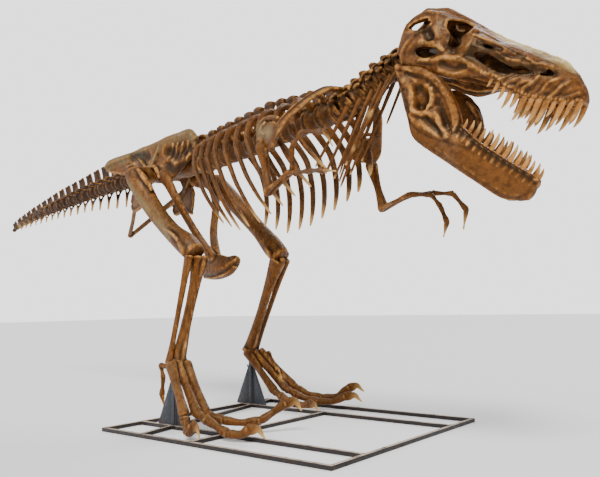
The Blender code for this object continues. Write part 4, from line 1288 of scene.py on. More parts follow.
@dataclass
class RibCage:
    """Dorsal vertebrae and ribs, in the trunk's frame."""

    count: int = 12
    first_x: float = 0.201
    pitch: float = 0.182
    drum_z: float = 0.100
    drum_r: float = 0.096
    ribs: int = 10
    rib_first: int = 1
    tops: Stops = ((0.2, 0.425), (1.3, 0.430), (1.7, 0.380), (2.3, 0.285))
    arc: tuple = (
        (-0.010, 0.10, 0.165, 0.024), (0.000, 0.45, 0.215, 0.027), (0.050, 0.72, 0.170, 0.030),
        (0.09, 0.87, 0.09, 0.030), (0.145, 0.98, -0.030, 0.029), (0.19, 1.00, -0.16, 0.028),
        (0.25, 0.97, -0.34, 0.026), (0.31, 0.915, -0.53, 0.025), (0.385, 0.79, -0.76, 0.021),
        (0.44, 0.66, -0.93, 0.014), (0.462, 0.60, -1.00, 0.007))

    def vertebra(self, index: int) -> Clay:
        """Return one dorsal vertebra.

        Args:
            index: Its number, from the rear.

        Returns:
            The bone.
        """
        clay = Clay()
        x = self.first_x + self.pitch * index
        r, z = self.drum_r, self.drum_z
        half = self.pitch / 2.0
        clay.add(sweep([(x - half + 0.006, 0, z), (x - half + 0.03, 0, z), (x, 0, z),
                        (x + half - 0.03, 0, z), (x + half - 0.006, 0, z)],
                       [(r * 0.97, r * 0.97), (r, r), (r * 0.72, r * 0.80), (r, r),
                        (r * 0.97, r * 0.97)], sides=20, ends=(0.10, 0.10)))
        clay.add(sweep([(x, 0, z + 0.03), (x, 0, z + 0.10), (x, 0, z + 0.17)],
                       [(0.050, 0.062), (0.044, 0.052), (0.030, 0.056)], up=AHEAD, square=3.0))
        top = read(self.tops, x)
        lean = 0.012 + 0.006 * math.sin(2.1 * index)
        clay.add(sweep([(x, 0, z + 0.10), (x + lean * 0.5, 0, lerp(z, top, 0.62)),
                        (x + lean, 0, top - 0.045), (x + lean, 0, top - 0.016)],
                       [(0.024, 0.062), (0.018, 0.056), (0.025, 0.066), (0.024, 0.066)],
                       up=AHEAD, square=4.5, ends=(0.3, 0.3)))
        # Painted highlight on the spine's top, where light falls.
        clay.highlight_marks.append((Vector((x + lean, 0.0, top - 0.015)), 0.085))
        clay.add(sweep(
            [(x + lean - 0.058, 0, top - 0.030), (x + lean + 0.004, 0, top - 0.023),
             (x + lean + 0.060, 0, top - 0.032)], [(0.030, 0.023), (0.034, 0.024), (0.029, 0.022)],
            square=5.0, ends=(0.15, 0.15)))
        clay.pair(sweep([(x, 0.03, 0.185), (x - 0.012, 0.12, 0.226), (x - 0.020, 0.205, 0.232)],
                        [(0.026, 0.034), (0.018, 0.030), (0.020, 0.034)], up=AHEAD))
        clay.pair(sweep([(x - 0.085, 0.046, 0.222), (x, 0.040, 0.200), (x + 0.110, 0.050, 0.205)],
                        [0.022, 0.014, 0.022]))
        return clay

    def rib(self, index: int) -> np.ndarray:
        """Return the dense path and radius of a left rib, counted from the rear.

        Args:
            index: Its number, from the rear.

        Returns:
            The rows.
        """
        x = self.first_x + self.pitch * (self.rib_first + index)
        wide = read(((0, 0.370), (3, 0.430), (7, 0.420), (9, 0.340)), index)
        deep = read(((0, 0.620), (2, 0.720), (4, 0.690), (6, 0.600), (8, 0.500), (9, 0.400)), index)
        lean = read(((0, 1.0), (9, 0.80)), index)
        rows = []
        for forward, out, height, radius in self.arc:
            drop = height if height > 0.0 else height * deep
            rows.append((x + forward * lean, out * wide, drop, radius))
        return smooth_rows(rows, 5)

    def build(self, shop: Workshop) -> None:
        """Build the backbone and the two sides of ribs.

        Args:
            shop: Workshop that makes the pieces.
        """
        column = Clay()
        for index in range(self.count):
            column.add(*self.vertebra(index).shapes)
        shop.bone("dorsal_vertebrae", column.place(TRUNK), ("trunk_left", "trunk_right"), SPINE,
                  Texture(passes=3, lump_depth=0.014, lump_size=11.0))
        matrix = np.array(TRUNK.matrix())
        for side in Side:
            paths = []
            for index in range(self.ribs):
                path = self.rib(index)
                path[:, 1] *= side.value
                path[:, :3] = path[:, :3] @ matrix[:3, :3].T + matrix[:3, 3]
                paths.append(path)
            shop.rods("ribs_" + side.word, paths, ("trunk_" + side.word,), BONE, 0.15)


@dataclass
class Neck:
    """Cervical vertebrae along a curve from trunk to skull, with long thin ribs."""

    count: int = 8
    start: Spot = (2.294, 0.0, 0.100)
    stop: Spot = (-0.045, 0.0, 0.150)
    reach: float = 0.300

    def curve(self) -> Callable[[float], Vector]:
        """Return the neck's axis as a function from 0 at the trunk to 1 at the skull.

        Returns:
            The function.
        """
        trunk, skull = TRUNK.matrix(), SKULL.matrix()
        a, d = trunk @ Vector(self.start), skull @ Vector(self.stop)
        lead = (trunk.to_3x3() @ Vector((1.0, 0.0, 0.10))) * self.reach
        tail = skull.to_3x3() @ Vector((1.0, 0.0, 0.10))
        tail = (tail + trunk.to_3x3() @ Vector((1.0, 0.0, 0.30))).normalized() * self.reach
        b, c = a + lead, d - tail

        def point(t: float) -> Vector:
            """Return the place at t."""
            s = 1.0 - t
            return a * s**3 + b * (3 * s * s * t) + c * (3 * s * t * t) + d * t**3

        return point

    def build(self, shop: Workshop) -> None:
        """Build the vertebrae, then their ribs.

        Args:
            shop: Workshop that makes the pieces.
        """
        point = self.curve()
        clay = Clay()
        rods = []
        for i in range(self.count):
            t = (i + 0.5) / self.count
            step = 0.5 / self.count
            here = point(t)
            ahead = (point(min(t + 0.05, 1.0)) - point(t - 0.05)).normalized()
            left = Vector(UP).cross(ahead).normalized()
            up = ahead.cross(left)
            size = lerp(0.098, 0.076, i / (self.count - 1))
            rim = [(point(t - step * 0.93), size * 0.96), (point(t - step * 0.6), size),
                   (here, size * 0.78), (point(t + step * 0.6), size * 0.97),
                   (point(t + step * 0.93), size * 0.93)]
            clay.add(sweep([r[0] for r in rim], [(r[1], r[1]) for r in rim], sides=20, up=up,
                           ends=(0.12, 0.12)))
            top = lerp(0.150, 0.130, t)
            clay.add(sweep([here + up * 0.03, here + up * (0.6 * top),
                            here + up * (top - 0.020) + ahead * 0.01],
                           [(0.050, 0.056), (0.026, 0.040), (0.024, 0.034)], up=ahead, square=2.6))
            clay.add(ball(here + up * (top - 0.018) + ahead * 0.008, (0.034, 0.030, 0.020)))
            for way in (-1.0, 1.0):
                side = left * way
                clay.add(
                    sweep([here + side * 0.03 + up * 0.03, here + side * 0.10 + up * 0.030,
                           here + side * 0.148 + up * 0.018],
                          [(0.030, 0.036), (0.018, 0.027), (0.013, 0.031)], up=ahead, square=2.6))
                clay.add(sweep([here + side * 0.085 + up * 0.060 - ahead * 0.055,
                                here + side * 0.075 + up * 0.085,
                                here + side * 0.090 + up * 0.062 + ahead * 0.060],
                               [(0.020, 0.016), (0.016, 0.013), (0.022, 0.013)], up=up))
                clay.add(sweep([here + side * 0.120 + up * 0.010 - ahead * 0.02,
                                here + side * 0.105 - up * 0.045, here + side * 0.075 - up * 0.060],
                               [(0.016, 0.026), (0.014, 0.022), (0.018, 0.022)], up=ahead))
                if i == 0 or i == self.count - 1:
                    continue
                length = read(((1, 0.46), (3, 0.62), (5, 0.56), (6, 0.36)), i)
                root = here + side * 0.105 - up * 0.050
                drop = Vector((0.0, 0.0, 0.72 * length))
                tip = root - ahead * (0.62 * length) - drop + side * 0.07
                begin = here - up * 0.035 + side * 0.085
                rows = [(*lerp(begin, tip, u), r) for u, r in (
                    (0.0, 0.016), (0.12, 0.018), (0.35, 0.015), (0.7, 0.012), (0.95, 0.009),
                    (1.0, 0.006))]
                rods.append(smooth_rows(rows, 5))
        shop.bone("cervical_vertebrae", clay, ("neck",), NECK_BONE,
                  Texture(passes=3, lump_depth=0.014, lump_size=12.0))
        shop.rods("cervical_ribs", rods, ("neck",), BONE, 0.032, 0.6)


# ---------------------------------------------------------------- hips

@dataclass
class Hips:
    """Sacrum, hip blades, pubes and ischia, in the pelvis frame."""

    blade: tuple = (
        (0.60, 0.345, 0.240, 0.120, 0.120, 0.022), (0.50, 0.420, 0.130, 0.130, 0.135, 0.026),
        (0.30, 0.405, -0.050, 0.160, 0.225, 0.040), (0.18, 0.390, -0.085, 0.190, 0.270, 0.055),
        (0.05, 0.370, 0.030, 0.220, 0.270, 0.055), (-0.12, 0.350, 0.030, 0.255, 0.275, 0.055),
        (-0.26, 0.340, -0.070, 0.280, 0.285, 0.050), (-0.42, 0.332, 0.070, 0.305, 0.300, 0.036),
        (-0.68, 0.325, 0.130, 0.350, 0.330, 0.034), (-0.84, 0.305, 0.165, 0.390, 0.370, 0.040),
        (-0.93, 0.270, 0.190, 0.405, 0.390, 0.032))
    struts: tuple = (
        (((0.20, 0.315, -0.05), (0.12, 0.325, 0.06), (0.02, 0.335, 0.085), (-0.14, 0.330, 0.075),
          (-0.25, 0.325, -0.03)),
         ((0.028, 0.026), (0.026, 0.024), (0.030, 0.026), (0.028, 0.024), (0.030, 0.026)), UP),
        (((0.04, 0.320, 0.10), (0.05, 0.285, 0.22), (0.10, 0.240, 0.35)),
         ((0.030, 0.020), (0.022, 0.016), (0.030, 0.016)), AHEAD),
        (((-0.10, 0.318, 0.10), (-0.24, 0.318, 0.20), (-0.40, 0.325, 0.30)),
         ((0.028, 0.018), (0.020, 0.014), (0.024, 0.016)), UP),
        (((0.52, 0.14, 0.16), (0.46, 0.16, 0.20), (0.36, 0.19, 0.10)), (0.024, 0.020, 0.020), UP),
    )
    dents: tuple = (
        (((-0.43, 0.335, 0.275), (-0.28, 0.315, 0.270), (-0.13, 0.300, 0.235)), 0.090, 0.032),
        (((0.22, 0.215, 0.235), (0.36, 0.185, 0.170), (0.52, 0.155, 0.225)), 0.095, 0.030),
        (((0.24, 0.235, 0.070), (0.34, 0.215, 0.010), (0.44, 0.185, 0.060)), 0.090, 0.028),
        (((-0.50, 0.345, 0.200), (-0.36, 0.335, 0.130)), 0.050, 0.014),
    )
    obturator: tuple = ((-0.10, -0.06), (-0.50, -0.10), (-0.55, -0.22), (-0.49, -0.32),
                        (-0.28, -0.29), (-0.13, -0.35))

    def ilium(self, shop: Workshop, side: Side) -> None:
        """Build one hip blade with its rim, its ridges and its socket.

        Args:
            shop: Workshop that makes the pieces.
            side: Side of the animal.
        """
        way = side.value
        rings = []
        rim, crest = [], []
        for x, top, low, y_top, y_low, half in self.blade:
            mid = lerp(low, top, 0.5)
            y_mid = lerp(y_low, y_top, 0.6)
            thin = half * 0.62
            rings.append([(x, way * (y_top - half), top), (x, way * (y_top + half), top),
                          (x, way * (y_mid + thin), mid), (x, way * (y_low + half), low),
                          (x, way * (y_low - half), low), (x, way * (y_mid - thin), mid)])
            rim.append((x, way * y_top, top - 0.032))
            crest.append((half * 0.90 + 0.012, 0.034))
        clay = Clay()
        # Painted highlight along the blade's rim and one ridge, where light falls.
        clay.highlight_marks += [(Vector(spot), 0.095) for spot in smooth_rows(np.array(rim), 3)]
        ridge = ((0.03, 0.345, 0.10), (0.05, 0.310, 0.19), (0.08, 0.270, 0.28))
        clay.highlight_marks += [(Vector(spot), 0.055) for spot in sided(ridge, way)]
        clay.add(loft(rings, around=5, along=4))
        clay.add(sweep(rim, crest, ends=(0.6, 0.6)))
        for line, sizes, up in self.struts:
            clay.add(sweep(sided(line, way), sizes, up=up))
        clay.add(ball((-0.90, way * 0.395, 0.235), (0.040, 0.034, 0.050)))
        for line, reach, depth in self.dents:
            clay.press(sided(line, way), reach, depth, (0.0, way, 0.0), False)
            # Painted shade in the deeper dents, as if they lay in shadow.
            if depth > 0.02:
                clay.shade(sided(line, way), 0.72 * reach, False)
        for x in (0.24, 0.31, 0.38, 0.45, 0.52):
            y = read(((0.24, 0.225), (0.55, 0.145)), x)
            line = ((x + 0.05, y - 0.010, 0.300), (x, y, 0.190), (x - 0.05, y + 0.010, 0.060))
            clay.press(sided(line, way), 0.024, -0.012, (0.0, way, 0.0), False)
        shop.bone("hip_blade_" + side.word, clay.place(PELVIS), ("ilium_" + side.word,), HIP,
                  Texture(lump_depth=0.012, lump_size=5.0))

    def sacrum(self, shop: Workshop) -> None:
        """Build the fused vertebrae with their plate of spines and side struts.

        Args:
            shop: Workshop that makes the pieces.
        """
        clay = Clay()
        column = ((0.572, 0.098), (0.40, 0.080), (0.25, 0.095), (0.08, 0.078), (-0.08, 0.092),
                  (-0.25, 0.078), (-0.42, 0.092), (-0.55, 0.078), (-0.622, 0.092))
        clay.add(sweep([(x, 0.0, 0.070 + 0.09 * max(0.0, -x)) for x, r in column],
                       [(r, r) for x, r in column], sides=20, steps=4, ends=(0.1, 0.1)))
        for index in range(7):
            x = 0.50 - 0.168 * index
            top = read(((-0.58, 0.400), (-0.50, 0.420), (0.50, 0.392), (0.57, 0.375)), x)
            clay.add(sweep([(x, 0, 0.10), (x, 0, 0.26), (x - 0.005, 0, top - 0.02)],
                           [(0.026, 0.080), (0.018, 0.078), (0.024, 0.080)], up=AHEAD, square=3.0))
            clay.add(sweep(
                [(x - 0.08, 0, top - 0.026), (x, 0, top - 0.022), (x + 0.08, 0, top - 0.028)],
                [(0.026, 0.022), (0.031, 0.024), (0.026, 0.022)]))
        for x in (0.40, 0.16, -0.10, -0.34, -0.52):
            reach = read(((-0.34, 0.26), (0.16, 0.20), (0.40, 0.13)), x)
            clay.pair(sweep([(x, 0.02, 0.14), (x, reach * 0.6, 0.155), (x, reach, 0.165)],
                            [(0.060, 0.050), (0.046, 0.034), (0.060, 0.050)], up=AHEAD))
            clay.pair(sweep([(x, 0.02, 0.27), (x, reach * 0.6, 0.275), (x, reach * 0.95, 0.285)],
                            [(0.024, 0.034), (0.018, 0.026), (0.024, 0.036)], up=AHEAD))
        shop.bone("sacral_vertebrae", clay.place(PELVIS), ("sacrum",), HIP,
                  Texture(lump_depth=0.014, lump_size=8.0))

    def pubes(self, shop: Workshop) -> None:
        """Build the two shafts that end in one long boot.

        Args:
            shop: Workshop that makes the pieces.
        """
        clay = Clay()
        clay.pair(sweep(
            [(0.20, 0.278, -0.02), (0.25, 0.275, -0.07), (0.32, 0.27, -0.15), (0.43, 0.23, -0.34),
             (0.56, 0.115, -0.64), (0.72, 0.040, -0.88), (0.80, 0.02, -0.97)],
            [(0.056, 0.070), (0.056, 0.072), (0.045, 0.062), (0.038, 0.048), (0.038, 0.046),
             (0.044, 0.055), (0.05, 0.06)], up=AHEAD))
        rings = []
        for x, low, top, w in ((0.50, -1.05, -0.98, 0.040), (0.62, -1.130, -0.930, 0.060),
                               (0.80, -1.150, -0.890, 0.075), (1.00, -1.120, -0.930, 0.070),
                               (1.11, -1.070, -0.925, 0.055), (1.165, -1.010, -0.940, 0.035)):
            mid = low + 0.62 * (top - low)
            rings.append([
                (x, -w, low + 0.3 * (top - low)), (x, 0.0, low), (x, w, low + 0.3 * (top - low)),
                (x, w * 0.95, mid), (x, 0.0, top), (x, -w * 0.95, mid)])
        clay.add(loft(rings, around=5, along=5, bulge=0.5))
        clay.add(sweep(
            [(0.60, 0.0, -1.115), (0.80, 0.0, -1.132), (1.00, 0.0, -1.100), (1.13, 0.0, -1.035)],
            [(0.040, 0.018), (0.050, 0.020), (0.050, 0.022), (0.036, 0.024)]))
        clay.add(ball((1.115, 0.0, -0.985), (0.060, 0.052, 0.052)))
        shop.bone("pubic_bones", clay.place(PELVIS), ("pubes",), LIMB)

    def ischia(self, shop: Workshop) -> None:
        """Build the two rods, their obturator plates and the joined tip.

        Args:
            shop: Workshop that makes the pieces.
        """
        clay = Clay()
        clay.pair(sweep([(-0.22, 0.278, -0.01), (-0.27, 0.275, -0.06), (-0.34, 0.265, -0.11),
                         (-0.62, 0.19, -0.23), (-0.90, 0.09, -0.39), (-1.14, 0.012, -0.52)],
                        [(0.052, 0.066), (0.050, 0.066), (0.038, 0.055), (0.026, 0.034),
                         (0.024, 0.028), (0.026, 0.026)]))
        clay.pair(prism(self.obturator, 0.249, 0.281))
        edge = [(x, 0.265, z) for x, z in self.obturator]
        clay.pair(sweep(edge[1:], [0.022] * 5, steps=4))
        clay.add(ball((-1.145, 0.0, -0.525), (0.045, 0.034, 0.034)))
        shop.bone("ischial_bones", clay.place(PELVIS), ("ischia",), LIMB)

    def build(self, shop: Workshop) -> None:
        """Build the hip region.

        Args:
            shop: Workshop that makes the pieces.
        """
        for side in Side:
            self.ilium(shop, side)
        self.sacrum(shop)
        self.pubes(shop)
        self.ischia(shop)


# ---------------------------------------------------------------- tail

@dataclass
class Tail:
    """Twenty caudal vertebrae in three lengths, along the tail's frame."""

    count: int = 20
    first_x: float = -0.620
    pitch: float = 0.262
    shrink: float = 0.9905
    lengths: tuple = (("tail_base", 0, 7), ("tail_mid", 7, 13), ("tail_tip", 13, 20))
    axis: Stops = ((-5.60, -0.085), (-5.0, 0.02), (-4.0, 0.095), (-3.0, 0.140), (-2.0, 0.165),
                   (-1.2, 0.155), (-0.6, 0.126))
    girth: Stops = (
        (-5.60, 0.018), (-5.30, 0.034), (-4.5, 0.055), (-3.3, 0.078), (-2.0, 0.094), (-0.6, 0.100))
    tops: Stops = ((-5.45, 0.02), (-5.2, 0.10), (-4.5, 0.205), (-3.3, 0.345), (-2.5, 0.400),
                   (-1.8, 0.455), (-0.9, 0.450))
    lows: Stops = ((-5.2, -0.085), (-4.0, -0.075), (-2.4, -0.095), (-1.4, -0.170))

    def front(self, index: int) -> float:
        """Return where a vertebra begins."""
        return self.first_x - self.pitch * (1.0 - self.shrink ** index) / (1.0 - self.shrink)

    def vertebra(self, index: int, clay: Clay) -> None:
        """Add one vertebra with its spine, wings and chevron.

        Args:
            index: Its number, from the hips.
            clay: Bone to work on.
        """
        x0, x1 = self.front(index), self.front(index + 1)
        pitch, x = x0 - x1, (x0 + x1) / 2.0
        base, size = read(self.axis, x), read(self.girth, x)
        rim = [(x0 - 0.005, 0.95), (x0 - 0.20 * pitch, 1.0), (x, 0.76), (x1 + 0.20 * pitch, 0.98),
               (x1 + 0.005, 0.93)]
        clay.add(sweep([(u, 0.0, read(self.axis, u)) for u, _ in rim],
                       [(read(self.girth, u) * k, read(self.girth, u) * k) for u, k in rim],
                       sides=18, ends=(0.12, 0.12)))
        top = read(self.tops, x)
        if top > base + size:
            thick = 0.021 * (0.6 + size * 4.0)
            head = Vector((x - 0.30 * pitch, 0.0, top))
            clay.add(sweep([(x + 0.02, 0, base), (x - 0.10 * pitch, 0, lerp(base, top, 0.55)),
                            head - Vector((0, 0, 0.018))],
                           [(thick * 1.2, pitch * 0.40), (thick, pitch * 0.35),
                            (thick, pitch * 0.30)], up=AHEAD, square=2.6))
            clay.add(sweep([head + Vector((0.16 * pitch, 0, -0.024)),
                            head + Vector((-0.16 * pitch, 0, -0.020))],
                           [(thick * 1.50, 0.021), (thick * 1.60, 0.024)]))
            # Painted highlight on the spine's head, where light falls.
            clay.highlight_marks.append((head, 0.045))
            for way in BOTH_WAYS:
                clay.add(sweep([(x0 + 0.12 * pitch, way * size * 0.42, base + size * 1.12),
                                (x, way * size * 0.40, base + size * 1.02),
                                (x1 - 0.05 * pitch, way * size * 0.34, base + size * 1.25)],
                               [size * 0.20, size * 0.15, size * 0.18]))
        reach = read(((0, 0.27), (6, 0.19), (9, 0.12), (13, 0.075)), index)
        if index < 13:
            clay.pair(sweep([(x, size * 0.4, base + 0.030), (x - 0.01, reach * 0.6, base + 0.036),
                             (x - 0.02, reach, base + 0.034)],
                            [(0.018, 0.048), (0.013, 0.036), (0.016, 0.040)], up=AHEAD))
        if 1 <= index < self.count - 1:
            tip = read(self.lows, x)
            thick = 0.030 * (0.4 + size * 6.0)
            joint = x0 - 0.02
            low = Vector((x0 - 0.30 * pitch, 0.0, tip + 0.010))
            for way in BOTH_WAYS:
                clay.add(sweep([(joint, way * size * 0.45, base - size * 0.80),
                                (joint - 0.10 * pitch, way * size * 0.25, base - size * 1.25),
                                lerp(Vector((joint, 0, base)), low, 0.70)],
                               [(thick * 0.45, thick * 0.5), (thick * 0.40, thick * 0.45),
                                (thick * 0.4, thick * 0.5)], up=AHEAD))
            clay.add(sweep([(joint - 0.14 * pitch, 0, lerp(base - size, low.z, 0.25)),
                            lerp(Vector((joint, 0, base)), low, 0.80), low],
                           [(thick * 0.60, thick * 0.85), (thick * 0.50, thick * 0.72),
                            (thick * 0.36, thick * 0.44)], up=AHEAD))
            clay.tips.append((low, 0.13))

    def build(self, shop: Workshop) -> None:
        """Build the three lengths.

        Args:
            shop: Workshop that makes the pieces.
        """
        for name, first, stop in self.lengths:
            clay = Clay()
            for index in range(first, stop):
                self.vertebra(index, clay)
            if name == "tail_tip":
                clay.add(sweep([(self.front(19) - 0.05, 0, read(self.axis, -5.25)),
                                (-5.33, 0, -0.030), (-5.400, 0, -0.045)], [0.034, 0.024, 0.015]))
            shop.bone(name.replace("tail_", "caudal_vertebrae_"), clay.place(TAIL), (name,),
                      TAIL_BONE, Texture(lump_depth=0.012, lump_size=10.0))


# ---------------------------------------------------------------- digits

def digit(clay: Clay, joints: Sequence[Vector], radii: Sequence[float], up: Spot = UP,
          flat: float = 0.85) -> None:
    """Add the jointed bones of a toe or finger and its claw.

    Args:
        clay: Bone to add to.
        joints: Joint, middle, joint, middle ... with the claw's last three at the end.
        radii: Radius at each of those.
        up: Direction of the digit's back.
        flat: Height of a shaft against its width.
    """
    for k in range(0, len(joints) - 3, 2):
        a, m, b = joints[k], joints[k + 1], joints[k + 2]
        ra, rm, rb = radii[k], radii[k + 1], radii[k + 2]
        length = (b - a).length
        lap = min(0.012 / max(length, 0.02), 0.1)
        path = [lerp(a, m, lap), lerp(a, m, 0.30), m, lerp(m, b, 0.62), lerp(m, b, 1.0 - lap)]
        sizes = [(ra * 0.86, ra * 0.82), (lerp(ra, rm, 0.45), lerp(ra, rm, 0.45) * 0.95),
                 (rm * 0.92, rm * flat), (lerp(rm, rb, 0.75), lerp(rm, rb, 0.75)),
                 (rb * 0.90, rb * 0.90)]
        clay.add(sweep(path, sizes, up=up, ends=(0.35, 0.55)))
        across = Vector(up).cross(b - a).normalized()
        for way in BOTH_WAYS:
            clay.add(ball(b + across * (way * rb * 0.55) - (b - a).normalized() * (rb * 0.30),
                          (rb * 0.52, rb * 0.52, rb * 0.62)))
    a, m, b = joints[-3:]
    ra, rm = radii[-3], radii[-2]
    base = ra * 1.02
    side = (0.62 * base, base)
    path = [a + (a - m) * 0.06, lerp(a, m, 0.35), m, lerp(m, b, 0.55), b]
    sizes = [side, (0.60 * base, 1.02 * base), (0.50 * rm, 0.86 * rm), (0.30 * rm, 0.50 * rm),
             (0.007, 0.008)]
    clay.add(sweep(path, sizes, up=up, ends=(0.6, 0.9)))
    clay.add(ball(lerp(a, m, 0.08) - Vector(up) * (ra * 0.45), (ra * 0.55, ra * 0.50, ra * 0.42)))
    clay.tips.append((b, (b - a).length * 0.80))


# ---------------------------------------------------------------- shoulders and arms

@dataclass
class Arm:
    """One shoulder blade and arm, in the trunk's frame."""

    side: Side
    shoulder: Spot
    elbow: Spot
    wrist: Spot
    inner: tuple
    outer: tuple
    plates: tuple = ((((1.86, 0.450, -0.020), (1.93, 0.465, -0.070), (2.10, 0.475, -0.120)),
                      ((0.018, 0.055), (0.022, 0.100), (0.024, 0.110))),
                     (((2.16, 0.478, 0.0), (2.06, 0.482, 0.030), (1.95, 0.476, 0.035),
                       (1.87, 0.462, 0.010), (1.845, 0.455, -0.050), (1.88, 0.462, -0.115)),
                      (0.016, 0.017, 0.018, 0.018, 0.017, 0.016)),
                     (((2.00, 0.487, 0.0), (1.955, 0.487, -0.020), (1.955, 0.487, -0.065),
                       (2.00, 0.490, -0.090)), (0.014, 0.013, 0.013, 0.014)))
    # Places of the painted highlight on the shoulder blade's plate.
    wear_and_highlight: tuple = ((1.90, 0.480, -0.03), (1.97, 0.480, -0.06), (2.05, 0.480, -0.09))

    def scapula(self, shop: Workshop) -> None:
        """Build the long blade and the coracoid plate with its raised rim.

        Args:
            shop: Workshop that makes the pieces.
        """
        way = self.side.value
        clay = Clay()
        path = sided(((2.42, 0.085, 0.215), (2.40, 0.20, 0.200), (2.34, 0.34, 0.110),
                      (2.22, 0.44, -0.010), (2.12, 0.475, -0.120), (2.06, 0.475, -0.210)), way)
        up = (0.0, way * 0.75, 0.65)
        clay.add(sweep(path,
                       [(0.052, 0.016), (0.050, 0.018), (0.046, 0.019), (0.050, 0.021),
                        (0.085, 0.026), (0.060, 0.030)], up=up, square=2.4, ends=(0.5, 0.5)))
        ridge = [(x - 0.018, y + way * 0.012, z + 0.012) for x, y, z in path[:5]]
        clay.add(sweep(ridge, [0.013, 0.014, 0.015, 0.016, 0.014], up=up))
        for line, sizes in self.plates:
            clay.add(sweep(sided(line, way), sizes))
        # Painted highlight on the plate.
        clay.highlight_marks += [(Vector(spot), 0.085) for spot in sided(self.wear_and_highlight, way)]
        shoulder = Vector(self.shoulder)
        upper = (Vector(self.elbow) - shoulder).normalized()
        clay.add(ball(shoulder - upper * 0.030, (0.055, 0.034, 0.035)))
        shop.bone("shoulder_blade_" + self.side.word, clay.place(TRUNK),
                  ("scapula_" + self.side.word,), HIP, Texture(voxel=0.006, lump_depth=0.008))

    def build(self, shop: Workshop) -> None:
        """Build the shoulder, upper arm, forearm and hand.

        Args:
            shop: Workshop that makes the pieces.
        """
        self.scapula(shop)
        word = self.side.word
        shoulder, elbow, wrist = Vector(self.shoulder), Vector(self.elbow), Vector(self.wrist)
        lower, upper = (wrist - elbow).normalized(), (elbow - shoulder).normalized()
        clay = Clay()
        clay.add(sweep([shoulder + upper * 0.012, *shares(shoulder, elbow, 0.10, 0.22, 0.55, 0.82),
                        elbow - upper * 0.012],
                       [(0.044, 0.050), (0.050, 0.056), (0.044, 0.048), (0.028, 0.032),
                        (0.036, 0.038), (0.048, 0.044)], up=ACROSS, ends=(0.5, 0.6)))
        clay.add(ball(lerp(shoulder, elbow, 0.24) + Vector((0.03, 0, 0)), (0.022, 0.020, 0.060)))
        for way in BOTH_WAYS:
            clay.add(
                ball(elbow - upper * 0.012 + Vector(ACROSS) * (0.024 * way), (0.030, 0.024, 0.030)))
        shop.bone("upper_arm_" + word, clay.place(TRUNK), ("humerus_" + word,), LIMB,
                  Texture(voxel=0.005))
        clay = Clay()
        for way in BOTH_WAYS:
            off = Vector(ACROSS) * (0.021 * way)
            clay.add(sweep(
                [elbow - lower * 0.016 + off * 0.6,
                 *shares(elbow, wrist, (0.18, off), (0.55, off), (0.85, off)), wrist + off * 0.6],
                [(0.028, 0.028), (0.018, 0.022), (0.014, 0.016), (0.017, 0.018), (0.024, 0.020)],
                up=ACROSS))
        clay.add(ball(elbow - lower * 0.022, (0.030, 0.026, 0.028)))
        shop.bone("forearm_bones_" + word, clay.place(TRUNK), ("forearm_" + word,), LIMB,
                  Texture(voxel=0.005))
        clay = Clay()
        for finger, way in ((self.inner, 1.0), (self.outer, -1.0)):
            joints = [Vector(p) for p in finger]
            first = wrist + lower * 0.004 + Vector(ACROSS) * (0.014 * way)
            digit(clay, chained([first] + joints),
                  (0.026, 0.017, 0.024, 0.016, 0.022, 0.017, 0.024, 0.018, 0.003), up=ACROSS,
                  flat=1.0)
        shop.bone("hand_bones_" + word, clay.place(TRUNK), ("hand_" + word,), BONE,
                  Texture(voxel=0.004, lump_depth=0.005, grain_depth=0.002))


ARMS = (Arm(Side.RIGHT, (1.93, -0.480, -0.150), (2.035, -0.480, -0.530), (2.27, -0.450, -0.425),
            ((2.28, -0.440, -0.240), (2.41, -0.440, -0.155), (2.68, -0.440, -0.215),
             (2.76, -0.440, -0.330)),
            ((2.36, -0.460, -0.445), (2.53, -0.470, -0.462), (2.70, -0.480, -0.488),
             (2.84, -0.480, -0.518))),
        Arm(Side.LEFT, (2.055, 0.510, -0.200), (2.185, 0.520, -0.605), (2.47, 0.545, -0.535),
            ((2.68, 0.560, -0.565), (2.768, 0.560, -0.666), (2.825, 0.560, -0.790),
             (2.786, 0.560, -0.895)),
            ((2.66, 0.620, -0.545), (2.84, 0.620, -0.575), (2.960, 0.620, -0.710),
             (2.927, 0.620, -0.848))))


# ---------------------------------------------------------------- legs

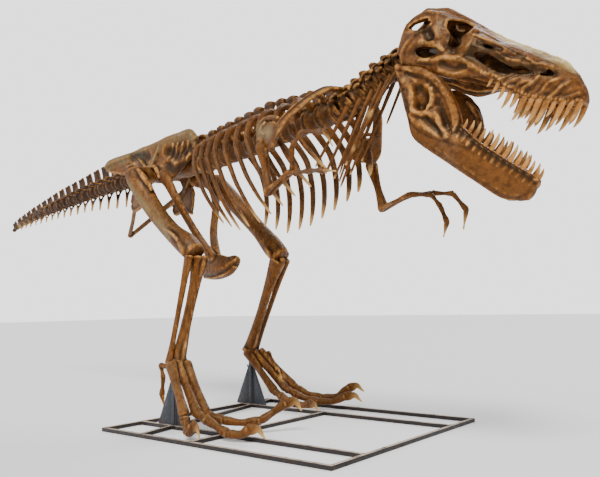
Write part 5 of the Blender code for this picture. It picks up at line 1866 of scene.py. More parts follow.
@dataclass
class Leg:
    """One hind leg from hip to claws, in the floor frame; the hip is in the pelvis frame."""

    side: Side
    knee: Spot
    ankle: Spot
    bow: float
    metatarsals: tuple
    spur: tuple
    toes: tuple
    hip_y: float = 0.505
    toe_radii: tuple = (0.049, 0.040, 0.048, 0.037, 0.044, 0.037, 0.045, 0.035, 0.006)

    def thigh(self, shop: Workshop, outward: Vector) -> None:
        """Build the femur: head, trochanters, bowed shaft and two condyles.

        Args:
            shop: Workshop that makes the pieces.
            outward: Direction to the animal's left.
        """
        way = self.side.value
        hip = PELVIS.matrix()
        head, neck = hip @ Vector((-0.01, way * 0.235, 0.010)), hip @ Vector((-0.01, way * 0.400,
                                                                              0.015))
        top, knee = hip @ Vector((0.0, way * self.hip_y, 0.0)), Vector(self.knee)
        down = (knee - top).normalized()
        fore = outward.cross(Vector(UP)).normalized()
        back = outward.cross(down).normalized() * self.bow
        clay = Clay()
        clay.add(sweep(
            [top - down * 0.085, top - down * 0.02 + back * 0.2,
             *shares(top, knee, (0.16, back * 0.6), (0.42, back), (0.68, back * 0.8),
                     (0.86, back * 0.2), 0.965)],
            [(0.058, 0.053), (0.090, 0.103), (0.103, 0.110), (0.090, 0.096), (0.090, 0.094),
             (0.108, 0.114), (0.112, 0.104)], sides=22, up=(0.3, 0.0, 1.0), ends=(0.8, 0.5)))
        clay.add(
            sweep([head, lerp(head, neck, 0.4), neck, top], [0.070, 0.085, 0.070, 0.070], sides=20))
        across = outward * way
        for offset, push in ((0.062, 0.015), (-0.058, 0.0)):
            spot = knee - down * 0.060 + across * offset - fore * 0.020
            clay.add(sweep([spot - down * 0.10 + fore * 0.02, spot + fore * push,
                            spot + down * 0.030 - fore * 0.030],
                           [(0.046, 0.060), (0.054, 0.078), (0.050, 0.064)], up=across, sides=18))
        for places, sizes, up in (
                (((-0.02, fore * 0.09), (0.10, fore * 0.105), (0.22, fore * 0.085)),
                 [(0.030, 0.030), (0.034, 0.034), (0.022, 0.020)], across),
                (((0.34, back - fore * 0.075), (0.45, back - fore * 0.090),
                  (0.56, back - fore * 0.072)), [0.018, 0.026, 0.018], across),
                (((0.60, across * 0.075 + back), (0.78, across * 0.092), (0.92, across * 0.085)),
                 [0.014, 0.020, 0.026], fore)):
            clay.add(sweep(shares(top, knee, *places), sizes, up=up))
        # Painted highlight: a lighter streak down the femur's outer side, where light falls.
        for step in range(18):
            clay.highlight_marks.append(
                (lerp(top, knee, 0.06 + 0.04 * step) + across * 0.085 + back * 0.8, 0.068))
        shop.bone("thigh_bone_" + self.side.word, clay, ("femur_" + self.side.word,), LIMB,
                  Texture(voxel=0.008, passes=8, lump_depth=0.007, lump_size=5.0, hollow_rounds=30))

    def shin(self, shop: Workshop, outward: Vector) -> None:
        """Build the tibia with its crest and ankle lobes, and the fibula.

        Args:
            shop: Workshop that makes the pieces.
            outward: Direction to the animal's left.
        """
        way = self.side.value
        knee, ankle = Vector(self.knee), Vector(self.ankle)
        ahead = outward.cross(Vector(UP))
        shin = (ankle - knee).normalized()
        inner = outward * (-way * 0.045)
        outer = outward * (way * 0.073) - ahead * 0.010
        clay = Clay()
        clay.add(sweep([knee + shin * 0.030 + inner,
                        *shares(knee, ankle, (0.07, inner), (0.30, inner), (0.62, inner * 0.7),
                                (0.88, inner * 0.5)), ankle - shin * 0.016 + inner * 0.5],
                       [(0.068, 0.106), (0.070, 0.104), (0.050, 0.064), (0.046, 0.054),
                        (0.062, 0.062), (0.072, 0.072)], sides=20, up=ahead, ends=(0.25, 0.3)))
        for places, sizes in (
                (((0.03, inner + ahead * 0.085), (0.10, inner + ahead * 0.088),
                  (0.24, inner + ahead * 0.050)), [0.030, 0.030, 0.018]),
                (((0.72, inner * 0.6 + ahead * 0.040), (0.90, inner * 0.5 + ahead * 0.052),
                  (1.0, inner * 0.5 + ahead * 0.050)), [0.016, 0.026, 0.024])):
            clay.add(sweep(shares(knee, ankle, *places), sizes, up=outward))
        for push in (0.05, -0.05):
            clay.add(
                ball(ankle - shin * 0.022 + inner * 0.5 + outward * push, (0.044, 0.044, 0.032)))
        shop.bone("shin_bone_" + self.side.word, clay, ("tibia_" + self.side.word,), LIMB,
                  Texture(voxel=0.007, passes=7, grain_size=26.0, hollow_rounds=26))
        clay = Clay()
        clay.add(sweep([knee + shin * 0.020 + outer,
                        *shares(knee, ankle, (0.08, outer), (0.35, outer), (0.75, outer),
                                (0.93, outer)), ankle - shin * 0.010 + outer],
                       [(0.038, 0.064), (0.036, 0.054), (0.028, 0.033), (0.024, 0.029),
                        (0.033, 0.036), (0.038, 0.042)], sides=16, up=ahead, ends=(0.4, 0.4)))
        shop.bone("calf_bone_" + self.side.word, clay, ("fibula_" + self.side.word,), LIMB,
                  Texture(voxel=0.006))

    def foot(self, shop: Workshop, outward: Vector) -> None:
        """Build the joined metatarsals, the spur digit and the three toes.

        Args:
            shop: Workshop that makes the pieces.
            outward: Direction to the animal's left.
        """
        ahead = outward.cross(Vector(UP))
        top = self.ankle[2]
        clay = Clay()
        chains = []
        for index, ((x, y), far) in enumerate(self.metatarsals):
            begin, far = Vector((x, y, top - 0.004)), Vector(far)
            along = (far - begin).normalized()
            clay.add(sweep(
                [*shares(begin, far, 0.0, 0.05, 0.16, 0.50, 0.84, 0.95), far - along * 0.004],
                [(0.045, 0.060), (0.047, 0.064), (0.044, 0.054), (0.037, 0.042), (0.043, 0.047),
                 (0.049, 0.052), (0.046, 0.047)], sides=18, up=ahead, ends=(0.3, 0.6)))
            toe = [Vector(p) for p in self.toes[index]]
            across = Vector(UP).cross(toe[0] - begin).normalized()
            for way in BOTH_WAYS:
                clay.add(ball(far + across * (way * 0.022) - along * 0.012, (0.026, 0.026, 0.030)))
            chains.append([far + along * 0.004, lerp(far, toe[0], 0.5)] + toe)
        spur = [Vector(p) for p in self.spur]
        clay.add(sweep([spur[0], lerp(spur[0], spur[1], 0.5), spur[1]], [0.022, 0.022, 0.028]))
        digit(clay, chained(spur[1:]), (0.030, 0.019, 0.026, 0.019, 0.029, 0.021, 0.005),
              up=ahead, flat=1.0)
        clay.tips[-1] = (clay.tips[-1][0], 0.060)
        shop.bone("foot_bones_" + self.side.word, clay, ("metatarsus_" + self.side.word,), LIMB,
                  Texture(voxel=0.006, hollow_rounds=18))
        for index, chain in enumerate(chains):
            clay = Clay()
            digit(clay, chain, self.toe_radii)
            number = index + 2
            shop.bone("toe_bones_%d_%s" % (number, self.side.word), clay,
                      ("toe_%d_%s" % (number, self.side.word),), LIMB,
                      Texture(voxel=0.005, lump_depth=0.007, hollow_rounds=14))

    def build(self, shop: Workshop) -> None:
        """Build the leg.

        Args:
            shop: Workshop that makes the pieces.
        """
        outward = PELVIS.matrix().to_3x3() @ Vector(ACROSS)
        self.thigh(shop, outward)
        self.shin(shop, outward)
        self.foot(shop, outward)


LEGS = (
    Leg(Side.RIGHT, (-0.765, -0.480, 1.630), (-0.810, -0.691, 0.600), 0.090,
        (((-0.740, -0.628), (-0.385, -0.712, 0.180)), ((-0.790, -0.690), (-0.390, -0.818, 0.195)),
         ((-0.800, -0.762), (-0.432, -0.925, 0.195))),
        ((-0.82, -0.690, 0.555), (-1.030, -0.690, 0.575), (-0.995, -0.690, 0.455),
         (-1.015, -0.690, 0.300), (-0.975, -0.690, 0.180)),
        (((-0.259, -0.620, 0.120), (-0.130, -0.530, 0.100), (0.010, -0.430, 0.115),
          (0.110, -0.355, 0.195), (0.200, -0.300, 0.270), (0.275, -0.262, 0.285),
          (0.322, -0.240, 0.205)),
         ((-0.240, -0.822, 0.145), (-0.119, -0.830, 0.105), (0.021, -0.840, 0.065),
          (0.142, -0.812, 0.066), (0.210, -0.790, 0.115), (0.285, -0.765, 0.118),
          (0.334, -0.740, 0.050)),
         ((-0.395, -0.950, 0.150), (-0.352, -0.970, 0.110), (-0.300, -0.995, 0.065),
          (-0.260, -1.005, 0.075), (-0.215, -1.015, 0.135), (-0.160, -1.030, 0.130),
          (-0.110, -1.045, 0.055)))),
    Leg(Side.LEFT, (-0.560, 0.568, 1.640), (-1.105, 0.645, 0.632), -0.020,
        (((-1.110, 0.585), (-0.825, 0.720, 0.195)), ((-1.085, 0.655), (-0.745, 0.825, 0.215)),
         ((-1.040, 0.725), (-0.725, 0.925, 0.245))),
        ((-1.03, 0.735, 0.560), (-0.960, 0.790, 0.600), (-0.905, 0.795, 0.500),
         (-0.840, 0.800, 0.410), (-0.778, 0.800, 0.335)),
        (((-0.700, 0.712, 0.140), (-0.608, 0.700, 0.105), (-0.490, 0.690, 0.081),
          (-0.388, 0.680, 0.081), (-0.305, 0.672, 0.105), (-0.234, 0.668, 0.102),
          (-0.178, 0.660, 0.040)),
         ((-0.620, 0.855, 0.155), (-0.517, 0.880, 0.120), (-0.379, 0.930, 0.092),
          (-0.230, 0.990, 0.095), (-0.110, 1.045, 0.150), (-0.010, 1.082, 0.165),
          (0.055, 1.115, 0.100)),
         ((-0.640, 0.955, 0.190), (-0.554, 0.985, 0.150), (-0.415, 1.050, 0.115),
          (-0.270, 1.120, 0.135), (-0.150, 1.185, 0.225), (-0.070, 1.218, 0.250),
          (-0.002, 1.245, 0.190)))))


# ---------------------------------------------------------------- skull

def cut_away(base: Shape, tools: Sequence[Shape]) -> Shape:
    """Return a shape cut by others.

    Args:
        base: Shape to cut.
        tools: Shapes to cut away.

    Returns:
        The shape.
    """
    body = new_object("body", raw_mesh([base]))
    group = bpy.data.collections.new("cutters")
    bpy.context.scene.collection.children.link(group)
    cutters = [bpy.data.objects.new("cutter", raw_mesh([tool])) for tool in tools]
    for cutter in cutters:
        group.objects.link(cutter)
    modifier = body.modifiers.new("cut", "BOOLEAN")
    modifier.operation = "DIFFERENCE"
    modifier.solver = "EXACT"
    modifier.operand_type = "COLLECTION"
    modifier.collection = group
    mesh = Grower.settle(body)
    for cutter in cutters:
        bpy.data.objects.remove(cutter)
    bpy.data.collections.remove(group)
    return Shape(spots(mesh), [tuple(face.vertices) for face in mesh.polygons])


def tooth_model(name: str, way: float) -> bpy.types.Mesh:
    """Return one curved tooth of length 1 whose root is at the origin; way is +1 for up.

    Args:
        name: Its name.
        way: +1 for a tooth that points up, -1 for down.

    Returns:
        The mesh.
    """
    path = [(0.04, 0, -0.20), (0.02, 0, 0.0), (0.0, 0, 0.30), (-0.05, 0, 0.62), (-0.14, 0, 0.88),
            (-0.20, 0, 0.99)]
    shape = sweep(path,
                  [(0.105, 0.145), (0.115, 0.165), (0.115, 0.155), (0.088, 0.118), (0.048, 0.062),
                   (0.012, 0.014)], sides=12, steps=3, up=AHEAD, ends=(0.2, 0.9))
    shape = shape.moved(Matrix.Diagonal((1.0, 1.0, way, 1.0)))
    mesh = raw_mesh([shape], name)
    store(mesh, "tip", np.clip(np.abs(spots(mesh)[:, 2]) * 1.25 - 0.15, 0.0, 1.0))
    return mesh


@dataclass
class Skull:
    """The skull, in its own frame: x runs from the jaw joint to the snout."""

    top: Stops = (
        (-0.09, 0.330), (0.00, 0.455), (0.15, 0.470), (0.30, 0.425), (0.45, 0.372), (0.60, 0.322),
        (0.80, 0.280), (1.00, 0.232), (1.10, 0.162), (1.17, 0.080), (1.20, 0.030))
    wide: Stops = ((-0.09, 0.250), (0.05, 0.290), (0.20, 0.295), (0.45, 0.270), (0.60, 0.225),
                   (0.80, 0.180), (1.00, 0.140), (1.10, 0.110), (1.17, 0.070), (1.20, 0.035))
    roof: Stops = (
        (-0.09, 0.200), (0.05, 0.200), (0.20, 0.180), (0.32, 0.160), (0.45, 0.095), (0.60, 0.060),
        (0.80, 0.050), (1.00, 0.050), (1.10, 0.045), (1.17, 0.030), (1.20, 0.018))
    shed: Stops = ((-0.09, 0.040), (0.05, 0.050), (0.20, 0.045), (0.45, 0.020), (1.20, 0.012))
    low: Stops = ((-0.09, 0.080), (0.00, 0.000), (0.17, 0.020), (0.28, -0.005), (0.38, -0.012),
                  (0.47, 0.010), (0.55, 0.028), (0.64, 0.018), (0.73, -0.030), (0.87, -0.065),
                  (1.08, -0.052), (1.20, -0.020))
    sections: tuple = (
        -0.09, -0.04, 0.00, 0.07, 0.15, 0.22, 0.28, 0.33, 0.38, 0.43, 0.47, 0.51, 0.55, 0.60, 0.64,
        0.69, 0.73, 0.80, 0.87, 0.94, 1.00, 1.05, 1.10, 1.14, 1.17, 1.195)
    openings: tuple = (
        (((-0.050, 0.262), (0.010, 0.262), (0.070, 0.285), (0.095, 0.335), (0.055, 0.335),
          (-0.020, 0.300)), 0.10),
        (((0.054, 0.121), (0.090, 0.075), (0.170, 0.062), (0.235, 0.110), (0.225, 0.150),
          (0.120, 0.150)), 0.14),
        (((0.225, 0.345), (0.240, 0.285), (0.285, 0.235), (0.285, 0.180), (0.330, 0.150),
          (0.385, 0.185), (0.372, 0.240), (0.405, 0.290), (0.385, 0.348), (0.305, 0.372)), 0.11),
        (((0.470, 0.148), (0.510, 0.108), (0.610, 0.066), (0.700, 0.058), (0.860, 0.096),
          (0.790, 0.132), (0.710, 0.118), (0.600, 0.160), (0.525, 0.172)), 0.09),
        (((0.880, 0.100), (0.915, 0.082), (0.985, 0.098), (0.985, 0.126), (0.940, 0.146),
          (0.922, 0.116)), 0.06),
        (((0.505, 0.208), (0.540, 0.190), (0.590, 0.196), (0.575, 0.222), (0.520, 0.232)), 0.12))
    ridges: tuple = (
        (((-0.080, 0.285), (-0.03, 0.345), (0.05, 0.385), (0.11, 0.375)),
         (0.018, 0.022, 0.026, 0.024), -0.010),
        (((-0.070, 0.235), (0.00, 0.225), (0.06, 0.235), (0.11, 0.250)),
         (0.020, 0.024, 0.022, 0.020), -0.014),
        (((0.130, 0.375), (0.165, 0.310), (0.195, 0.240), (0.245, 0.165), (0.300, 0.115)),
         (0.036, 0.034, 0.034, 0.036, 0.038), -0.024),
        (((0.420, 0.300), (0.432, 0.235), (0.425, 0.165), (0.400, 0.110)),
         (0.032, 0.030, 0.032, 0.034), -0.022),
        (((0.285, 0.330), (0.310, 0.298), (0.350, 0.300)), (0.010, 0.011, 0.010), -0.034),
        (((0.00, 0.050), (0.08, 0.030), (0.18, 0.020), (0.28, 0.004), (0.37, -0.002), (0.45, 0.022),
          (0.54, 0.045), (0.66, 0.036)), (0.032, 0.032, 0.030, 0.032, 0.034, 0.030, 0.024, 0.018),
         -0.020),
        (((0.02, 0.20), (-0.02, 0.14), (-0.03, 0.08), (0.00, 0.03)), (0.028, 0.032, 0.034, 0.034),
         -0.018))
    rims: tuple = ((1, 0.009), (2, 0.010), (3, 0.009), (4, 0.008), (5, 0.010))
    hollows: tuple = (
        (((0.30, 0.36), (0.33, 0.25), (0.335, 0.17)), 0.105, 0.020),
        (((0.44, 0.135), (0.56, 0.125), (0.68, 0.085), (0.84, 0.100)), 0.060, 0.022),
        (((0.49, 0.225), (0.55, 0.212), (0.62, 0.205)), 0.034, 0.012),
        (((0.12, 0.245), (0.15, 0.215)), 0.050, 0.030),
        (((0.08, 0.110), (0.20, 0.105)), 0.070, 0.016),
        (((0.90, 0.105), (0.985, 0.112)), 0.040, 0.012),
        (((0.30, 0.045), (0.38, 0.035), (0.44, 0.062)), 0.042, 0.018),
        (((0.47, 0.300), (0.60, 0.250), (0.74, 0.205)), 0.026, 0.009),
        (((0.66, 0.172), (0.75, 0.168), (0.82, 0.160)), 0.022, 0.010),
    )
    rises: tuple = (
        (((0.13, 0.050), (0.24, 0.070), (0.32, 0.098), (0.40, 0.098), (0.48, 0.070), (0.58, 0.030)),
         0.034, 0.016),
        (((0.44, 0.270), (0.50, 0.262), (0.58, 0.248), (0.66, 0.222), (0.72, 0.205)), 0.026, 0.012),
        (((0.61, 0.185), (0.66, 0.165), (0.70, 0.150), (0.76, 0.158)), 0.022, 0.013),
        (((0.80, 0.178), (0.86, 0.158), (0.90, 0.165), (0.96, 0.158)), 0.022, 0.011),
        (((0.10, 0.170), (0.20, 0.170), (0.27, 0.140)), 0.030, 0.012),
        (((0.41, 0.330), (0.52, 0.292), (0.66, 0.262)), 0.024, 0.008))
    # Painted shade on the flanks: the fossae and the rims of the openings drawn darker as if in
    # shadow.
    shadows: tuple = (
        (((0.07, 0.250), (0.12, 0.245), (0.16, 0.205)), 0.060),
        (((0.47, 0.150), (0.57, 0.122), (0.68, 0.090), (0.85, 0.112)), 0.078),
        (((0.46, 0.190), (0.56, 0.182), (0.66, 0.152)), 0.046),
        (((0.62, 0.225), (0.78, 0.180)), 0.026),
        (((0.50, 0.214), (0.60, 0.206)), 0.044),
        (((0.89, 0.110), (0.985, 0.114)), 0.044),
        (((0.29, 0.330), (0.330, 0.260), (0.330, 0.180)), 0.080),
        (((0.08, 0.110), (0.20, 0.108)), 0.052),
    )
    sight_from: float = 0.220
    sight_slope: tuple = (0.585, -0.289)
    teeth: int = 13
    tooth_first: float = 0.600
    tooth_pitch: float = 0.0455
    tooth_sizes: tuple = (
        0.062, 0.078, 0.094, 0.118, 0.098, 0.160, 0.128, 0.166, 0.152, 0.104, 0.142, 0.108, 0.128)

    def ring(self, x: float) -> list:
        """Return one closed section at x.

        Args:
            x: Place along the head.

        Returns:
            The points of the section.
        """
        top, wide, roof, low = (read(s, x) for s in (self.top, self.wide, self.roof, self.low))
        mid = lerp(low, top, 0.45)
        half = [(0.0, top), (roof * 0.7, top - 0.004), (roof, top - read(self.shed, x)),
                (lerp(roof, wide, 0.75), lerp(mid, top, 0.55)), (wide, mid),
                (wide * 0.99, lerp(low, mid, 0.35)), (wide * 0.97, low + 0.014), (wide * 0.80, low),
                (wide * 0.4, low)]
        return [(x, y, z) for y, z in half] + [(x, -y, z) for y, z in half[:0:-1]]

    def flank(self, x: float, z: float, out: float = 0.0) -> tuple:
        """Return the point of the left side at x and z, 'out' metres proud of it.

        Args:
            x: Place along the head.
            z: Height.
            out: How proud the point is, in metres.

        Returns:
            The point.
        """
        top, wide, roof, low = (read(s, x) for s in (self.top, self.wide, self.roof, self.low))
        mid = lerp(low, top, 0.45)
        edge = ((low, wide * 0.95), (mid, wide), (lerp(mid, top, 0.55), lerp(roof, wide, 0.75)),
                (top - read(self.shed, x), roof), (top, 0.0))
        return (x, read(edge, z) + out, z)

    def ridge(self, line: Line, sizes: Sizes, out: float) -> Shape:
        """Return a raised ridge along (x, z) points of the left side.

        Args:
            line: Points as (x, z).
            sizes: One half size, or one for each point.
            out: How proud its middle is of the side.

        Returns:
            The shape.
        """
        path = [self.flank(x, z, out) for x, z in line]
        if not isinstance(sizes, (list, tuple)):
            sizes = [sizes] * len(path)
        return sweep(path, list(sizes), sides=12, steps=4, up=ACROSS)

    def hollowed(self) -> Shape:
        """Return the main body with its mouth and openings cut.

        Returns:
            The shape.
        """
        body = loft([self.ring(x) for x in self.sections], around=3, along=2)
        palate = [[(x, -w, -0.3), (x, w, -0.3), (x, w * 0.8, z), (x, -w * 0.8, z)]
                  for x, w, z in ((-0.3, 0.215, 0.16), (0.45, 0.215, 0.13), (0.62, 0.160, 0.05),
                                  (0.90, 0.110, 0.03), (1.12, 0.050, 0.02))]
        tools = [loft(palate, around=1, along=3, bulge=0.0)]
        for outline, near in self.openings:
            window = prism(outline, near, 0.40)
            tools += [window, window.mirrored()]
        ahead, rise = self.sight_slope
        through = plug([[(x + ahead * (y - self.sight_from), y, z + rise * (y - self.sight_from))
                         for x, z in self.openings[0][0]] for y in (0.330, 0.050)])
        tools += [through, through.mirrored()]
        well = smooth_rows(
            ((-0.005, 0.055), (0.140, 0.045), (0.150, 0.130), (0.010, 0.160)), 4, closed=True)
        shaft = plug([[(x, y, z) for x, y in well] for z in (0.300, 0.60)])
        tools += [shaft, shaft.mirrored()]
        notch = ((-0.30, -0.13), (-0.045, -0.13), (-0.045, 0.13), (-0.30, 0.13))
        return cut_away(
            body, tools + [plug([[(x, y, z) for x, y in notch] for z in (-0.20, 0.30)])])

    def relief(self, clay: Clay) -> None:
        """Add the rims, bars, bosses and hollows.

        Args:
            clay: Bone to work on.
        """
        for number, radius in self.rims:
            outline = self.openings[number][0]
            clay.pair(self.ridge(list(outline) + [outline[0], outline[1]], radius, -0.003))
        for line, sizes, out in self.ridges:
            clay.pair(self.ridge(line, sizes, out))
        self.model(clay)

    def stroke(self, clay: Clay, line: Line, reach: float, depth: float) -> None:
        """Press a line of (x, z) points into both flanks; a negative depth raises it."""
        clay.press([self.flank(x, z) for x, z in line], reach, depth)

    def model(self, clay: Clay) -> None:
        """Model the fossae, the cheek, the snout ridge and the wrinkles by strokes, and lay painted
        shade on the flanks and in the openings and a painted highlight on the snout top.

        Args:
            clay: Bone to work on.
        """
        for strokes, sign in ((self.hollows, 1.0), (self.rises, -1.0)):
            for line, reach, depth in strokes:
                self.stroke(clay, line, reach, sign * depth)
        # Painted shade along the listed shadow lines on both flanks.
        for line, reach in self.shadows:
            clay.shade([self.flank(x, z, -0.004) for x, z in line], reach)
        # Painted shade inside each opening, darkening the skull's interior as if in shadow.
        for outline, _ in self.openings[1:]:
            x, z = np.array(outline).mean(axis=0)
            inside = read(self.wide, x) * 0.5
            for back in (0.05, 0.0):
                clay.shade([(x - back, inside, z)], inside * 0.85)
        for index in range(15):
            x = 0.600 + 0.0400 * index
            low = read(self.low, x)
            rise = 0.62 * (read(self.top, min(x + 0.09, 1.19)) - low) if x > 0.80 else 0.080
            rise = min(0.150, rise)
            bend = 0.016 * math.sin(1.9 * index)
            line = [(x - 0.006, low + 0.016), (x + 0.018 + bend, low + 0.34 * rise),
                    (x + 0.046, low + 0.68 * rise), (min(x + 0.085 + bend, 1.185), low + rise)]
            self.stroke(clay, line, 0.019, -0.0060 - 0.0025 * math.sin(3.3 * index))
        for index in range(2 * self.teeth + 3):
            x = self.tooth_first - 0.04 + 0.5 * self.tooth_pitch * index
            self.stroke(
                clay, [(x, read(self.low, x) + 0.004), (x + 0.003, read(self.low, x) + 0.020)],
                0.012, -0.007)
        for index in range(14):
            x = 0.47 + 0.042 * index
            z = read(self.top, x)
            clay.press([(x, 0.010, z), (x + 0.02, 0.016, z)], 0.030,
                       -0.004 - 0.003 * math.sin(2.4 * index), way=UP)
            # Painted highlight along the snout top, where light falls.
            clay.highlight_marks.append((Vector((x, 0.0, z + 0.010)), 0.140 if x > 0.52 else 0.060))

    def braincase(self, clay: Clay) -> None:
        """Add the stem to the neck, the palate struts and the rear plates.

        Args:
            clay: Bone to work on.
        """
        clay.add(sweep([(-0.040, 0.0, 0.150), (0.05, 0.0, 0.155), (0.25, 0.0, 0.180)],
                       [(0.058, 0.058), (0.066, 0.066), (0.09, 0.09)], sides=18))
        clay.pair(sweep(
            [(0.02, 0.19, 0.10), (0.16, 0.17, 0.09), (0.34, 0.13, 0.075), (0.52, 0.07, 0.05),
             (0.66, 0.05, 0.040)],
            [(0.024, 0.050), (0.020, 0.044), (0.022, 0.040), (0.020, 0.034), (0.018, 0.024)]))
        clay.pair(sweep([(0.20, 0.165, 0.08), (0.26, 0.19, 0.050), (0.36, 0.215, 0.045)],
                        [0.026, 0.024, 0.022]))
        clay.pair(sweep([(-0.060, 0.02, 0.225), (-0.065, 0.12, 0.235), (-0.060, 0.20, 0.220)],
                        [(0.030, 0.040), (0.022, 0.028), (0.020, 0.024)], up=AHEAD))

    def tooth_rows(self) -> list[tuple]:
        """Return the place, turn and size of each upper tooth.

        Returns:
            One row for each tooth.
        """
        rows = []
        for way in BOTH_WAYS:
            for index in range(self.teeth):
                x = self.tooth_first + self.tooth_pitch * (index + 0.5)
                size = self.tooth_sizes[index] * (1.0 + 0.04 * math.sin(2.7 * index + way))
                lift = read(self.low, x) - 0.002
                rows.append(((x, way * read(self.wide, x) * 0.86, lift),
                             (way * 0.05, 0.05, way * 0.12), size))
        return rows

    def build(self, shop: Workshop) -> None:
        """Build the skull and its upper teeth.

        Args:
            shop: Workshop that makes the pieces.
        """
        clay = Clay()
        clay.add(self.hollowed())
        self.relief(clay)
        self.braincase(clay)
        shop.bone("skull_cast", clay.place(SKULL), ("skull",), HEAD,
                  Texture(voxel=0.0068, passes=4, lump_depth=0.007, lump_size=12.0, grain_size=45.0,
                          grain_depth=0.003, hollow_rounds=22))
        set_teeth(shop, "upper_teeth", SKULL, self.tooth_rows(), -1.0)


def set_teeth(
        shop: Workshop, name: str, body: BodyFrame, rows: Sequence[tuple], way: float) -> None:
    """Set a jaw's teeth on their sockets, each turned into the jaw's frame.

    Args:
        shop: Workshop that makes the pieces.
        name: Its name.
        body: Region that the parts belong to.
        rows: Place, turn and size of each tooth.
        way: +1 for teeth that point up, -1 for down.
    """
    matrix = body.matrix()
    placed = []
    for spot, turn, size in rows:
        spin = [Matrix.Rotation(angle, 3, axis) for angle, axis in zip(turn, "XYZ")]
        local = spin[2] @ spin[1] @ spin[0]
        placed.append((matrix @ Vector(spot), tuple((matrix.to_3x3() @ local).to_euler()),
                       (0.045 + 0.52 * size, 0.045 + 0.52 * size, size)))
    shop.set_on_points(name, tooth_model(name + "_model", way), placed, TOOTH)


